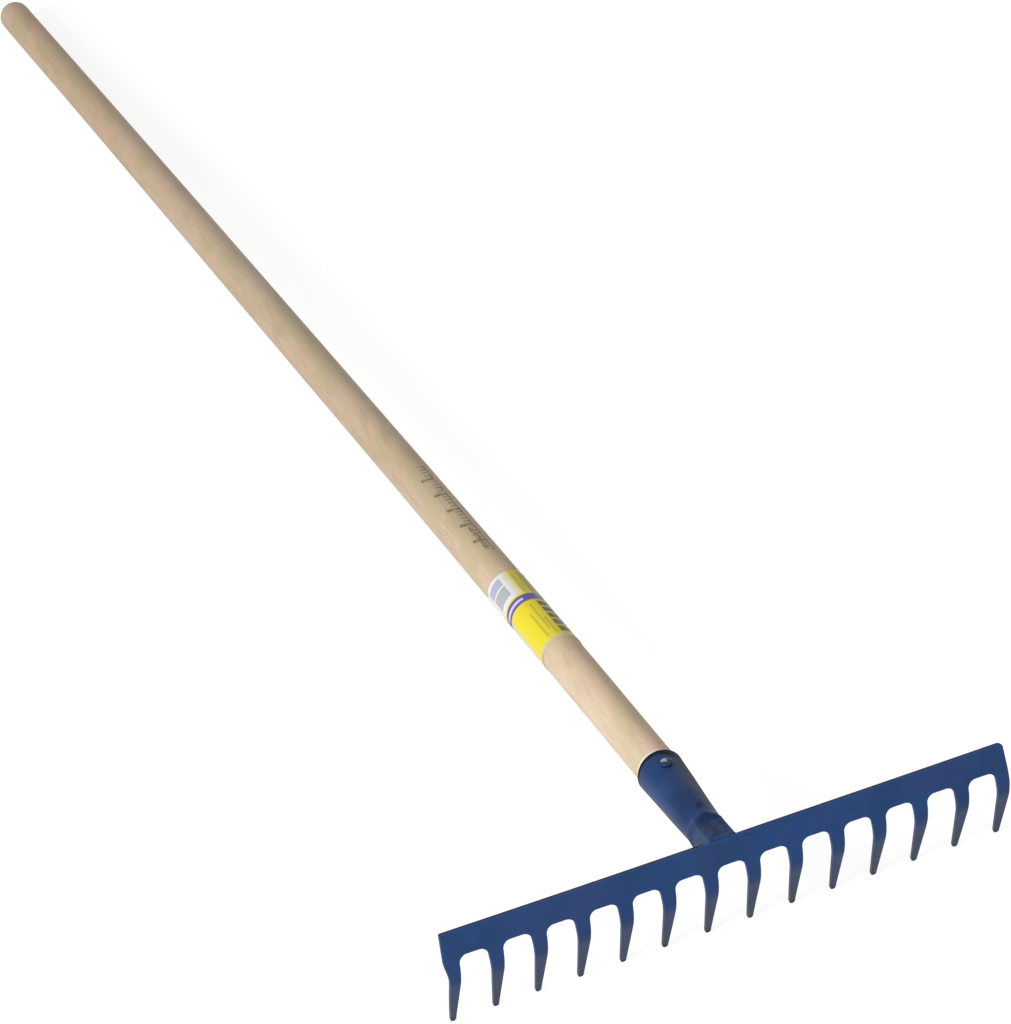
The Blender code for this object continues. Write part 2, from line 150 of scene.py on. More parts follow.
def mesh_piece(name, points, faces, uv=None, caps=(), sharp=60):
    """An object from arrays: points (n, 3) in the row's frame, quads (m, 4), one (u, v) for each
    corner of each quad, and caps as lists of point numbers. Doubles are merged. The faces of a
    closed shape are turned outwards, and those of an open sheet lie that way from its grid."""
    mesh = bpy.data.meshes.new(name)
    mesh.from_pydata(points.tolist(), [], faces.tolist() + [list(cap) for cap in caps])
    if uv is not None:
        layer = mesh.uv_layers.new(name="UVMap")
        spare = np.zeros((len(mesh.loops) - uv.size // 2, 2))
        layer.uv.foreach_set("vector", np.concatenate((uv.reshape(-1, 2), spare)).ravel())
    shape = bmesh.new()
    shape.from_mesh(mesh)
    bmesh.ops.remove_doubles(shape, verts=shape.verts, dist=MERGED_WITHIN)
    if all(edge.is_manifold for edge in shape.edges):
        bmesh.ops.recalc_face_normals(shape, faces=shape.faces)
    shape.to_mesh(mesh)
    shape.free()
    mesh.shade_smooth()
    mesh.set_sharp_from_angle(angle=math.radians(sharp))
    made = bpy.data.objects.new(name, mesh)
    bpy.context.scene.collection.objects.link(made)
    return made


def thicken(piece, thickness, offset, edge, segments, limit):
    """Gives a sheet its thickness, then rounds its rims as paint and tumbling do."""
    wall = piece.modifiers.new("sheet", "SOLIDIFY")
    wall.thickness = thickness
    wall.offset = offset
    wall.use_even_offset = True
    rims = piece.modifiers.new("rims", "BEVEL")
    rims.width = edge
    rims.segments = segments
    rims.limit_method = "ANGLE"
    rims.angle_limit = math.radians(limit)
    rims.harden_normals = True


def stand_for(piece, slot, *nodes):
    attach(piece, "root")
    if nodes:
        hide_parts(*nodes)


def bend_path(length, offset):
    """(y, z) at a length below the bar's top edge and an offset from the middle of the sheet:
    straight down to the bend, along an arc of the bend's radius, then straight on. The offset is
    laid off at right angles to that path."""
    turned = np.clip((length - BEND_AT) / BEND_RADIUS, 0, BEND_ANGLE)
    past = np.maximum(length - BEND_AT - BEND_RADIUS * BEND_ANGLE, 0)
    y = BEND_RADIUS * (1 - np.cos(turned)) + past * np.sin(turned)
    z = -np.minimum(length, BEND_AT) - BEND_RADIUS * np.sin(turned) - past * np.cos(turned)
    return y + offset * np.cos(turned), z + offset * np.sin(turned)


def tooth_half_width(length):
    """Half width of a tooth: constant down to its root, then an even taper to its tip."""
    taper = np.clip((length - ROOT_AT) / (TIP_CENTRE - ROOT_AT), 0, 1)
    return ROOT_HALF + (TIP_HALF - ROOT_HALF) * taper


def below_end(length):
    """0 at the foot of the bar's end, 1 at the foot of the step under it, eased between them."""
    share = np.clip((length - END_STEP_AT) / (END_STEP_FOOT - END_STEP_AT), 0, 1)
    return share * share * (3 - 2 * share)


def end_half_width(length, step=0.0):
    """Half width of the outer half of an end tooth, out to the bar's end. The bar's end flares a
    little downwards, steps in under the bar by the step more than the tooth's own width, and takes
    up that width again towards the tip, by the square of the length that is left."""
    centre = (TEETH - 1) / 2 * PITCH
    spread = BAR_END_FOOT - BAR_END_TOP
    flare = BAR_END_TOP + spread * np.minimum(length / END_STEP_AT, 1) - centre
    inset = step * ((TIP_CENTRE - length) / (TIP_CENTRE - BEND_AT)) ** 2
    return flare + below_end(length) * (tooth_half_width(length) - inset - flare)


def rim_profile():
    """Inset from the outline and offset from the middle of the sheet, from the front face round the
    rim to the back: a narrow flat, a quarter circle, the cut edge, a quarter circle and a flat."""
    turn = np.linspace(0, np.pi / 2, RIM_STEPS)
    inset = np.concatenate(([RIM_BAND], RIM_ROUND * (1 - np.sin(turn))))
    offset = np.concatenate(([SHEET / 2], SHEET / 2 - RIM_ROUND * (1 - np.cos(turn))))
    both = np.concatenate((inset, inset[::-1])), np.concatenate((offset, -offset[::-1]))
    return both[0][:, None], both[1][:, None]


def inner_foot(inset):
    """x and length where the columns of half a bay end, from a tooth's middle to the middle of the
    next gap: flat across the tooth, a quarter circle round the fillet's centre, then flat."""
    turn = np.linspace(0, np.pi / 2, FILLET_STEPS)[1:]
    across = np.linspace(0, 1, ACROSS_STEPS) * (ROOT_HALF - inset)
    around = ROOT_HALF + GAP_FILLET - (GAP_FILLET + inset) * np.cos(turn)
    up = ROOT_AT - (GAP_FILLET + inset) * np.sin(turn)
    x = np.concatenate((across, around, 0 * inset + PITCH / 2), axis=1)
    length = np.concatenate((0 * across + ROOT_AT, up, BAR_HEIGHT - inset), axis=1)
    return x, length


def end_top(inset, corner):
    """x and length where the columns of an end bay begin: flat, then a quarter circle round the
    corner's centre, with x stretched to the flare of the bar's end."""
    turn = np.linspace(0, np.pi / 2, ROUND_STEPS)
    half = end_half_width(0.0)
    flat = np.linspace(0, half - corner, END_FLAT_STEPS)[:-1] * np.ones_like(inset)
    x = np.concatenate((flat, half - corner + (corner - inset) * np.sin(turn)), axis=1)
    length = np.concatenate((0 * flat + inset, corner - (corner - inset) * np.cos(turn)), axis=1)
    share = x / (half - inset)
    return share, share * (end_half_width(length) - inset), length


def tooth_side(inset, half_width):
    """x and length down one side of a tooth from its root: the half width less the inset, then a
    quarter circle round the tip's centre."""
    bend_end = BEND_AT + BEND_RADIUS * BEND_ANGLE
    root = np.linspace(ROOT_AT, BEND_AT, ROOT_STEPS)
    bend = np.linspace(BEND_AT, bend_end, BEND_STEPS)[1:]
    taper = np.linspace(bend_end, TIP_CENTRE, TAPER_STEPS)[1:]
    rows = np.concatenate((root, bend, taper)) + 0 * inset
    turn = np.linspace(0, np.pi / 2, ROUND_STEPS)[1:]
    x = np.concatenate((half_width(rows) - inset, (TIP_HALF - inset) * np.cos(turn)), axis=1)
    return x, np.concatenate((rows, TIP_CENTRE + (TIP_HALF - inset) * np.sin(turn)), axis=1)


def half_bay(end=None):
    """(x, length, offset) grids of half a bay: its front and back faces, and the rounded rim along
    its top edge, its foot or end, and its tooth. A corner radius and a step make it the outer half
    of an end bay."""
    inset, offset = rim_profile()
    band = np.full((1, 1), RIM_BAND)
    down = np.linspace(0, 1, DOWN_STEPS)[:, None]
    if end is None:
        x, foot = inner_foot(band)
        bay = 0 * down + x, RIM_BAND + down * (foot - RIM_BAND)
        rims = [(0 * inset + x, inset + 0 * x)]
        rims.append(tuple(part[:, ACROSS_STEPS - 1 :] for part in inner_foot(inset)))
        shares, half_width = np.linspace(0, 1, ACROSS_STEPS)[:, None], tooth_half_width
    else:
        corner = end["corner"]
        share, x, top = end_top(band, corner)
        length = top + down * (ROOT_AT - top)
        half_width = functools.partial(end_half_width, step=end["step"])
        bay = share * (half_width(length) - RIM_BAND), length
        beside = (corner + down * (ROOT_AT - corner)).T + 0 * inset
        rims = [end_top(inset, corner)[1:], (half_width(beside) - inset, beside)]
        shares = share.T
    side_x, side = tooth_side(band, half_width)
    rims.append(tooth_side(inset, half_width))
    flats = [bay, (shares * side_x, side + 0 * shares)]
    rims = [(x, length, offset + 0 * x) for x, length in rims]
    faces = (SHEET / 2, -SHEET / 2)
    return rims + [(x, length, face + 0 * x) for x, length in flats for face in faces]


def lean_share(x, length, outer_half):
    """How much of the teeth's common lean a point takes: it grows down the bar, and fades from the
    bar's foot to the tip. The outer edge of an end bay takes it only below its step."""
    growing = np.clip(length / BAR_HEIGHT, 0, 1)
    fading = np.clip((TOOTH_LENGTH - length) / (TOOTH_LENGTH - BAR_HEIGHT), 0, 1)
    held = outer_half * x / end_half_width(length) * (1 - below_end(length))
    return growing * fading * (1 - held)


def head_plate():
    """Points and quads of the whole head. Each bay's halves are mirror images about a tooth, and
    the bend path carries them to (x, y, z). Each tooth also leans and reaches by its own small
    share of the square of its length past the bend, because the press doesn't bend them all
    alike. The bar bows down in its middle by a parabola, which fades towards the tips, and waves
    to and fro by a sine."""
    spread = np.random.default_rng(REACH_DRAWS)
    lean = LEAN_UNIT * np.array(OWN_LEAN)
    reach = spread.uniform(0, OWN_REACH, TEETH)
    points, faces, count = [], [], 0
    for tooth in range(TEETH):
        for side in (-1, 1):
            end = {(0, -1): LEFT_END, (TEETH - 1, 1): RIGHT_END}.get((tooth, side))
            for x, length, offset in half_bay(end):
                past = np.clip((length - BEND_AT) / (TOOTH_LENGTH - BEND_AT), 0, 1) ** 2
                y, z = bend_path(length, offset)
                leaned = COMMON_LEAN * lean_share(x, length, end is not None)
                x = (tooth - (TEETH - 1) / 2) * PITCH + side * x + leaned + lean[tooth] * past
                wave = BAR_WAVE * np.sin(WAVE_TURN * x + WAVE_START)
                y = y + reach[tooth] * past + wave * (1 - past)
                z = z - BAR_BOW * (1 - (x / BAR_END_FOOT) ** 2) * (1 - length / TOOTH_LENGTH)
                points.append(np.stack((x, y, z), axis=-1).reshape(-1, 3))
                faces.append(grid_faces(*x.shape) + count)
                count += x.size
    return laid_down(np.concatenate(points)), np.concatenate(faces)


def shader_node(tree, kind, values=(), **settings):
    """A node of that kind. Settings are its own options, and values sets or links its inputs, by
    name or by number."""
    made = tree.nodes.new("ShaderNode" + kind)
    for key, value in settings.items():
        setattr(made, key, value)
    for key, value in dict(values).items():
        if isinstance(value, bpy.types.NodeSocket):
            tree.links.new(value, made.inputs[key])
        else:
            made.inputs[key].default_value = value
    return made


def reckon(tree, operation, first, second=0.0):
    return shader_node(tree, "Math", {0: first, 1: second}, operation=operation).outputs[0]


def times(tree, first, second):
    return reckon(tree, "MULTIPLY", first, second)


def plus(tree, first, second):
    return reckon(tree, "ADD", first, second)


def inverse(tree, value):
    """1 where the value is 0, and 0 where it is 1."""
    return reckon(tree, "SUBTRACT", 1.0, value)


def reckon_vector(tree, operation, first, second=(0.0, 0.0, 0.0)):
    """Vector arithmetic: a number for a distance, a length or a dot product, otherwise a vector."""
    outputs = shader_node(tree, "VectorMath", {0: first, 1: second}, operation=operation).outputs
    return outputs["Value" if operation in ("DISTANCE", "LENGTH", "DOT_PRODUCT") else "Vector"]


def axes_of(tree, vector):
    return shader_node(tree, "SeparateXYZ", {0: vector}).outputs


def tint(tree, factor, below, above, mode="MIX"):
    """Colour below, with the colour above laid over it by the factor."""
    colours = [(*value, 1.0) if isinstance(value, tuple) else value for value in (below, above)]
    values = {0: factor, 6: colours[0], 7: colours[1]}
    return shader_node(tree, "Mix", values, data_type="RGBA", blend_type=mode).outputs[2]


def coat(tree, colour, mask, above, share):
    """The colour, with another laid over it where the mask is 1, as strongly as the share says."""
    return tint(tree, times(tree, mask, share), colour, above)


def rise(tree, value, low, high):
    """0 below low, 1 above high, and a smooth step between them."""
    values = {"Value": value, "From Min": low, "From Max": high}
    return shader_node(tree, "MapRange", values, interpolation_type="SMOOTHSTEP").outputs[0]


def evenly(tree, value, between, to):
    """Goes evenly over the second range while the value goes over the first."""
    limits = dict(zip(("From Min", "From Max", "To Min", "To Max"), (*between, *to)))
    return shader_node(tree, "MapRange", {"Value": value, **limits}).outputs[0]


def stripe(tree, value, low, high, soft):
    """1 between low and high, 0 outside, with edges that take twice soft."""
    up = rise(tree, value, low - soft, low + soft)
    return reckon(tree, "SUBTRACT", up, rise(tree, value, high - soft, high + soft))


def speckle(tree, where, scale, detail=2.0, stretch=(1.0, 1.0, 1.0)):
    """Noise of the object's own metres, with that many cycles a metre along each axis."""
    along = tuple(scale * part for part in stretch)
    mapped = shader_node(tree, "Mapping", {"Vector": where, "Scale": along})
    values = {"Vector": mapped.outputs[0], "Scale": 1.0, "Detail": detail}
    return shader_node(tree, "TexNoise", values).outputs["Fac"]


def patches(tree, where, scale, detail, low, high, stretch=(1.0, 1.0, 1.0)):
    """1 where such noise lies above high, 0 where it lies below low."""
    return rise(tree, speckle(tree, where, scale, detail, stretch), low, high)


def emboss(tree, shader, height, strength, depth):
    """Fine unevenness of the surface, too small for the mesh."""
    values = {"Height": height, "Strength": strength, "Distance": depth}
    tree.links.new(shader_node(tree, "Bump", values).outputs[0], shader.inputs["Normal"])


def new_finish(name):
    made = bpy.data.materials.new(name)
    made.use_nodes = True
    tree = made.node_tree
    where = shader_node(tree, "TexCoord").outputs["Object"]
    return made, tree, tree.nodes["Principled BSDF"], where


def painted_shade_rims(tree, where, colour):
    """Painted shade along the back of the bar's top edge on both sides of the weld, and a darker
    tone at the teeth's tips."""
    x, y, z = axes_of(tree, where)
    ragged = times(tree, speckle(tree, where, *RAGGED_EDGE), EDGE_WANDER)
    uneven = plus(tree, z, ragged)
    # painted shade along the back of the bar's top edge
    back = rise(tree, plus(tree, y, ragged), *BACK_EDGE_Y)
    back = times(tree, back, rise(tree, uneven, *TOP_EDGE_Z))
    beside_weld = inverse(tree, stripe(tree, x, *WELDED_X))
    back = times(tree, back, times(tree, beside_weld, 0.75))
    tip = inverse(tree, rise(tree, uneven, *DARKER_TIP_Z))
    share = reckon(tree, "MAXIMUM", back, times(tree, tip, 0.50))
    return tint(tree, share, colour, PAINTED_SHADE_DARK), share


def edge_on(tree):
    """0 on paint that is seen squarely, 1 on paint that turns away to the side."""
    return rise(tree, shader_node(tree, "LayerWeight").outputs["Facing"], *TURNED_AWAY)


def enamel(name, blue, deep, rims=None, sheen_worn_below=0.0, mottled=0.6):
    """Stoved enamel on steel. It pools darker and turns a little violet in large soft patches, has
    the fine skin of a dipped coat, and is lumpy round the weld, with painted highlights on the
    lumps. Rims is a function that lays painted shade, and on the socket also a paint blot and a
    painted highlight, over the colour and gives its share. Below a height the coat is painted
    greyer, partly a painted reflection of the pale floor and partly soil wear, with small chips
    down to the steel."""
    made, tree, shader, where = new_finish(name)
    colour = tint(tree, patches(tree, where, *POOLS), blue, deep)
    colour = coat(tree, colour, patches(tree, where, *VIOLET_PATCHES), PAINT_VIOLET, mottled)
    from_weld = reckon_vector(tree, "DISTANCE", where, WELD_PLACE)
    near = inverse(tree, rise(tree, from_weld, *WELD_NEAR))
    lumps = speckle(tree, where, *LUMPS)
    dark_lump = times(tree, near, rise(tree, lumps, *DARK_LUMP))
    colour = coat(tree, colour, dark_lump, WELD_DARK, share=0.75)
    # painted highlights: pale teal spots between the dark lumps round the weld
    lump_highlight = times(tree, near, rise(tree, inverse(tree, lumps), *LUMP_HIGHLIGHT))
    colour = coat(tree, colour, lump_highlight, WELD_HIGHLIGHT_TEAL, share=0.50)
    skin = times(tree, speckle(tree, where, *DIPPED_SKIN), 0.4)
    height = reckon(tree, "SUBTRACT", skin, times(tree, dark_lump, 0.8))
    gloss = inverse(tree, times(tree, edge_on(tree), 0.92))
    # painted reflection and wear: the lower teeth turn greyer, with chips of bare steel
    if sheen_worn_below:
        border = times(tree, speckle(tree, where, *SHEEN_WORN_BORDER), SHEEN_WORN_WANDER)
        border = plus(tree, axes_of(tree, where)["Z"], border)
        sheen_worn = inverse(tree, rise(tree, border, SHEEN_WORN_FULL, sheen_worn_below))
        colour = coat(tree, colour, sheen_worn, PAINT_WORN_SHEEN, share=0.82)
        chips = times(tree, sheen_worn, patches(tree, where, *CHIPS))
        colour = coat(tree, colour, chips, BARE_STEEL, share=0.7)
        height = reckon(tree, "SUBTRACT", height, chips)
    # painted shade, and on the socket a painted highlight, over the colour; both dull the gloss
    if rims:
        colour, dulled_share = rims(tree, where, colour)
        gloss = times(tree, gloss, inverse(tree, times(tree, dulled_share, 0.85)))
    emboss(tree, shader, height, strength=0.14, depth=0.0004)
    rough = evenly(tree, speckle(tree, where, *DULLED), between=(0.3, 0.7), to=(0.20, 0.31))
    tree.links.new(colour, shader.inputs["Base Color"])
    tree.links.new(rough, shader.inputs["Roughness"])
    tree.links.new(times(tree, gloss, 0.16), shader.inputs["Specular IOR Level"])
    return made


head = mesh_piece("toothed_bar", *head_plate())
head.data.materials.append(
    enamel("head_enamel", PAINT_BLUE, PAINT_DEEP, painted_shade_rims, sheen_worn_below=SHEEN_WORN_BELOW)
)
stand_for(head, "painted_steel", "rake_head")


# The socket is a tapered tube of 1.5 mm sheet, rolled round with an open seam along its underside.
# Its neck is pressed square in a die, which leaves flat faces with a crease where they start.

HANDLE_RISE = math.radians(8)
AXIS_HEIGHT = -0.006
RIM_AT = 0.0985
RIM_RADIUS = 0.01555
RIM_SIDEWAYS = -0.0013
THROAT_AT = 0.030
THROAT_RADIUS = 0.01225
NECK_AT = 0.0018
NECK_HALF_WIDTH = 0.0105
NECK_HALF_HEIGHT = 0.0086
NECK_CORNER = 0.0015
NECK_HEIGHT = -0.0092
NECK_SIDEWAYS = -0.0019
PRESSED_FROM = 0.0222
PRESSED_TO = 0.0290
FLANK_TURN = math.radians(-70)
FLANK_REACH = 0.0099
FLANK_CLEAR = 1.06
FLANK_CREASE = 30
SOCKET_WALL = 0.0015
SOCKET_EDGE = 0.00035
SOCKET_FROM = NECK_AT - 0.0001
SEAM_FROM = 0.036
SEAM_OPENS_OVER = 0.012
SEAM_LEAST = 0.04
SEAM_HALF = 0.0006
SOCKET_DENT = 0.00012
DENT_WAVES = (3, 90, 61)
NECK_RINGS = 12
STEP_RINGS = 24
CONE_RINGS = 24
SOCKET_COLUMNS = 161
NOT_ZERO = 1e-9
FACING_LEAST = 0.05

SOCKET_BLUE = (0.009, 0.046, 0.160)
SOCKET_DEEP = (0.006, 0.032, 0.112)
# painted highlight: the paler colour of the neck's left flank, which faces the lamp
SOCKET_HIGHLIGHT = (0.060, 0.084, 0.150)

# Where the socket's paint and its painted shade and highlight change, in metres: across it
# along X, and along it from the bar.
SOCKET_RAGGED = (160, 2.0)
SOCKET_WANDER = 0.0016
# painted shade along the rim, wider on the right, and down the socket's right side
RIM_SHADE_ALONG = (RIM_AT - 0.0030, RIM_AT - 0.0010)
SHADE_WIDENS_ACROSS = (-0.006, 0.008)
RIM_SHADE_WIDENS = 0.0056
SIDE_SHADE_ACROSS = (0.0035, 0.0105)
SIDE_SHADE_ALONG = (0.024, 0.050)
# partly scorched paint, partly painted shade: darker patches on the right of the neck
SHADE_SCORCHED_ACROSS = (-0.009, -0.002)
SHADE_SCORCHED_ALONG = (0.019, 0.031)
SHADE_SCORCHED_PATCHES = (150, 2.0, 0.15, 0.65)
PAINT_BLOT = (-0.0007, 0.0350, 0.0088)
BLOT_REACH = (0.0022, 0.0046)
# where the painted highlight on the neck's left flank lies
HIGHLIGHT_ACROSS = (-0.0112, -0.0066)
HIGHLIGHT_CREASE = (0.0385, 0.0415)


def axis_point(distance, sideways):
    """Points of the handle's middle line at distances from the bar: a line that rises from the
    square by eight degrees, moved sideways along X."""
    y = distance * math.cos(HANDLE_RISE)
    z = AXIS_HEIGHT + distance * math.sin(HANDLE_RISE)
    return np.stack(np.broadcast_arrays(sideways, y, z), axis=-1)


def rounded_section(half_width, half_height, corner, turn):
    """Radius, in each direction, of a rectangle with round corners. In a direction (a, b) the
    outline is the nearer of the flat sides, w/a and h/b, unless that lies beyond the corner's
    centre: then it is where the ray leaves the corner's circle."""
    a, b = np.abs(np.sin(turn)), np.abs(np.cos(turn))
    flat = half_width / np.maximum(a, NOT_ZERO), half_height / np.maximum(b, NOT_ZERO)
    flat = np.minimum(*flat)
    centre_x, centre_z = half_width - corner, half_height - corner
    along = a * centre_x + b * centre_z
    across = centre_x**2 + centre_z**2 - along**2
    rounded = along + np.sqrt(np.maximum(corner**2 - across, 0))
    in_corner = (flat * a > centre_x) & (flat * b > centre_z)
    return np.where(in_corner, rounded, flat)


def pressed_section(pressed, radius, turn):
    """Radius of the socket's skin in each direction. From a circle it goes over to the rounded
    rectangle of the neck as the pressed share grows from 0 to 1. A flat flank cuts its upper left,
    at reach / cos(turn - flank's turn). The two radii a and b join in a soft crease, as the k-th
    root of 1 / (1/a^k + 1/b^k)."""
    wide = radius + pressed * (NECK_HALF_WIDTH - radius)
    high = radius + pressed * (NECK_HALF_HEIGHT - radius)
    corner = np.minimum(wide, high) * (1 - pressed) + NECK_CORNER * pressed
    out = rounded_section(wide, high, corner, turn)
    reach = FLANK_CLEAR * radius + pressed * (FLANK_REACH - FLANK_CLEAR * radius)
    flank = reach / np.maximum(np.cos(turn - FLANK_TURN), FACING_LEAST)
    return (out**-FLANK_CREASE + flank**-FLANK_CREASE) ** (-1 / FLANK_CREASE)


def socket_surface(distance, turn):
    """The socket's outer skin on a grid of distances and turns, the turn counted from the top
    towards +X. The middle runs from the neck to the rim in two straight lines, and the section
    changes over a short way into the neck."""
    to_rim = np.clip((distance - THROAT_AT) / (RIM_AT - THROAT_AT), 0, 1)
    reach = np.minimum(distance, THROAT_AT) - NECK_AT
    y = NECK_AT + reach * math.cos(HANDLE_RISE)
    z = NECK_HEIGHT + reach * math.sin(HANDLE_RISE)
    neck = np.stack(np.broadcast_arrays(NECK_SIDEWAYS, y, z), axis=-1)
    rim = axis_point(RIM_AT, RIM_SIDEWAYS)
    middle = neck + to_rim[..., None] * (rim - neck)
    pressed = np.clip((PRESSED_TO - distance) / (PRESSED_TO - PRESSED_FROM), 0, 1)
    pressed = pressed * pressed * (3 - 2 * pressed)
    out = pressed_section(pressed, THROAT_RADIUS + to_rim * (RIM_RADIUS - THROAT_RADIUS), turn)
    tilt = HANDLE_RISE * np.clip((distance - NECK_AT) / (THROAT_AT - NECK_AT), 0, 1)
    x = out * np.sin(turn)
    up = out * np.cos(turn)
    return middle + np.stack((x, -up * np.sin(tilt), up * np.cos(tilt)), axis=-1)


def socket_sheet():
    """A grid whose rows run round the socket from one side of its seam to the other. The seam's
    half angle is its half width over the radius, and closes towards the neck. The product of two
    sines dents it a little: one winds round the skin, the other goes along it."""
    neck = np.linspace(SOCKET_FROM, PRESSED_FROM, NECK_RINGS)
    step = np.linspace(PRESSED_FROM, THROAT_AT, STEP_RINGS)[1:]
    cone = np.linspace(THROAT_AT, RIM_AT, CONE_RINGS)[1:]
    distance = np.concatenate((neck, step, cone))[:, None]
    opening = (distance - SEAM_FROM + SEAM_OPENS_OVER / 2) / SEAM_OPENS_OVER
    seam = np.clip(opening, SEAM_LEAST, 1) * SEAM_HALF / THROAT_RADIUS
    turn = np.pi + seam + np.linspace(0, 1, SOCKET_COLUMNS) * (2 * np.pi - 2 * seam)
    skin = socket_surface(np.broadcast_to(distance, turn.shape), turn)
    around, winding, along = DENT_WAVES
    wound = np.sin(around * turn + winding * distance)
    dent = SOCKET_DENT * wound * np.sin(along * distance + 1)
    skin = skin + dent[..., None] * np.stack((np.sin(turn), 0 * turn, np.cos(turn)), axis=-1)
    return laid_down(skin.reshape(-1, 3)), grid_faces(*turn.shape)


def socket_painted_light(tree, where, colour):
    """Painted shade: a dark band along the rim, wider on its right, and a darker strip down the
    socket's right side, away from the light. The patches on the right of the neck are partly
    scorched paint and partly painted shade; a blot of dark paint lies on top; and the neck's left
    flank has a painted highlight. How far a place is along the socket is the dot product of its
    distance from the foot of the middle line with that line's direction."""
    foot, ahead = laid_down(axis_point(np.array((0.0, 1.0)), 0.0))
    from_foot = reckon_vector(tree, "SUBTRACT", where, tuple(foot))
    along = reckon_vector(tree, "DOT_PRODUCT", from_foot, tuple(ahead - foot))
    x = axes_of(tree, where)["X"]
    ragged = times(tree, speckle(tree, where, *SOCKET_RAGGED), SOCKET_WANDER)
    edge = plus(tree, along, ragged)
    # painted shade: a dark band along the rim that reaches further down on the right
    shade_edge = plus(tree, edge, times(tree, rise(tree, x, *SHADE_WIDENS_ACROSS), RIM_SHADE_WIDENS))
    band = rise(tree, shade_edge, *RIM_SHADE_ALONG)
    # painted shade: a darker strip down the socket's right side, away from the light
    film = rise(tree, plus(tree, x, ragged), *SIDE_SHADE_ACROSS)
    film = times(tree, film, rise(tree, edge, *SIDE_SHADE_ALONG))
    # partly scorched paint, partly painted shade on the neck's right, away from the light
    shade_scorched = rise(tree, x, *SHADE_SCORCHED_ACROSS)
    shade_scorched = times(tree, shade_scorched, patches(tree, where, *SHADE_SCORCHED_PATCHES))
    shade_scorched = times(tree, shade_scorched, inverse(tree, rise(tree, edge, *SHADE_SCORCHED_ALONG)))
    from_blot = reckon_vector(tree, "DISTANCE", where, tuple(laid_down(PAINT_BLOT)))
    blot = inverse(tree, rise(tree, plus(tree, from_blot, ragged), *BLOT_REACH))
    dark = times(tree, band, 0.92)
    for patch, share in ((film, 0.72), (shade_scorched, 0.48), (blot, 0.60)):
        dark = reckon(tree, "MAXIMUM", dark, times(tree, patch, share))
    # painted highlight: the neck's left flank is paler and less glossy where it faces the lamp
    crease = rise(tree, reckon(tree, "SUBTRACT", along, x), *HIGHLIGHT_CREASE)
    painted_highlight = inverse(tree, rise(tree, x, *HIGHLIGHT_ACROSS))
    painted_highlight = times(tree, painted_highlight, inverse(tree, crease))
    colour = coat(tree, colour, painted_highlight, SOCKET_HIGHLIGHT, share=0.52)
    dull = reckon(tree, "MAXIMUM", dark, times(tree, painted_highlight, 0.70))
    return tint(tree, dark, colour, PAINTED_SHADE_DARK), dull


socket = mesh_piece("rolled_socket", *socket_sheet())
thicken(socket, SOCKET_WALL, offset=-1, edge=SOCKET_EDGE, segments=2, limit=60)
socket.data.materials.append(
    enamel("socket_enamel", SOCKET_BLUE, SOCKET_DEEP, socket_painted_light, mottled=0.30)
)
stand_for(socket, "painted_socket", "socket")


# Three runs of arc weld join the neck to the back of the bar, and the enamel covers them too. Each
# is a bead of overlapping ripples, and spatter from it sits on the neck and the bar near by.

WELD_RUNS = (("left", -128, -58), ("top", -50, 50), ("right", 58, 128))
WELD_RADIUS = 0.0017
WELD_RIPPLE = 0.0013
WELD_BEHIND = -0.0004
WELD_THINNEST = 0.88
WELD_SWELL = 0.2
WELD_BLUNT_OVER = 0.06
WELD_BLUNT_LEAST = 0.05
WELD_WOBBLE = 0.00025
WELD_WOBBLE_TURN = 900
BEAD_RINGS = 90
BEAD_SIDES = 20


def weld_bead(first, last):
    """A bead that follows the neck's outline from the first turn to the last. Its radius is that of
    the bead times a least share plus the square of a saw-toothed ripple, and falls at both ends by
    a square root. A sine moves it to and fro."""
    share = np.linspace(0, 1, BEAD_RINGS)
    path_turn = np.radians(first + (last - first) * share)
    out = pressed_section(1.0, THROAT_RADIUS, path_turn)
    path = np.stack((out * np.sin(path_turn), out * np.cos(path_turn)), axis=-1)
    step = np.gradient(path, axis=0)
    length = np.linalg.norm(step, axis=1)
    run = np.cumsum(length)
    away = np.stack((-step[:, 1], step[:, 0]), axis=-1) / length[:, None]
    ripple = (run / WELD_RIPPLE) % 1
    blunt = np.minimum(share, 1 - share) / WELD_BLUNT_OVER
    blunt = np.clip(blunt, WELD_BLUNT_LEAST, 1) ** 0.5
    radius = (WELD_RADIUS * (WELD_THINNEST + WELD_SWELL * ripple**2) * blunt)[:, None]
    wobble = WELD_WOBBLE * np.sin(run * WELD_WOBBLE_TURN + 1)[:, None]
    turn = np.linspace(0, 2 * np.pi, BEAD_SIDES, endpoint=False)
    side = radius * np.cos(turn) + wobble
    back = radius * np.sin(turn)
    x = NECK_SIDEWAYS + path[:, :1] + away[:, :1] * side
    z = NECK_HEIGHT + path[:, 1:] + away[:, 1:] * side
    y = NECK_AT + WELD_BEHIND + back
    points = laid_down(np.stack((x, y, z), axis=-1).reshape(-1, 3))
    caps = range(BEAD_SIDES), range(len(points) - BEAD_SIDES, len(points))
    return points, grid_faces(BEAD_RINGS, BEAD_SIDES, ring=True), None, caps


weld_paint = enamel("weld_enamel", PAINT_DEEP, SOCKET_DEEP)
for place, first_turn, last_turn in WELD_RUNS:
    bead = mesh_piece("bead_" + place, *weld_bead(first_turn, last_turn))
    bead.data.materials.append(weld_paint)
    stand_for(bead, "painted_steel", "weld_" + place)


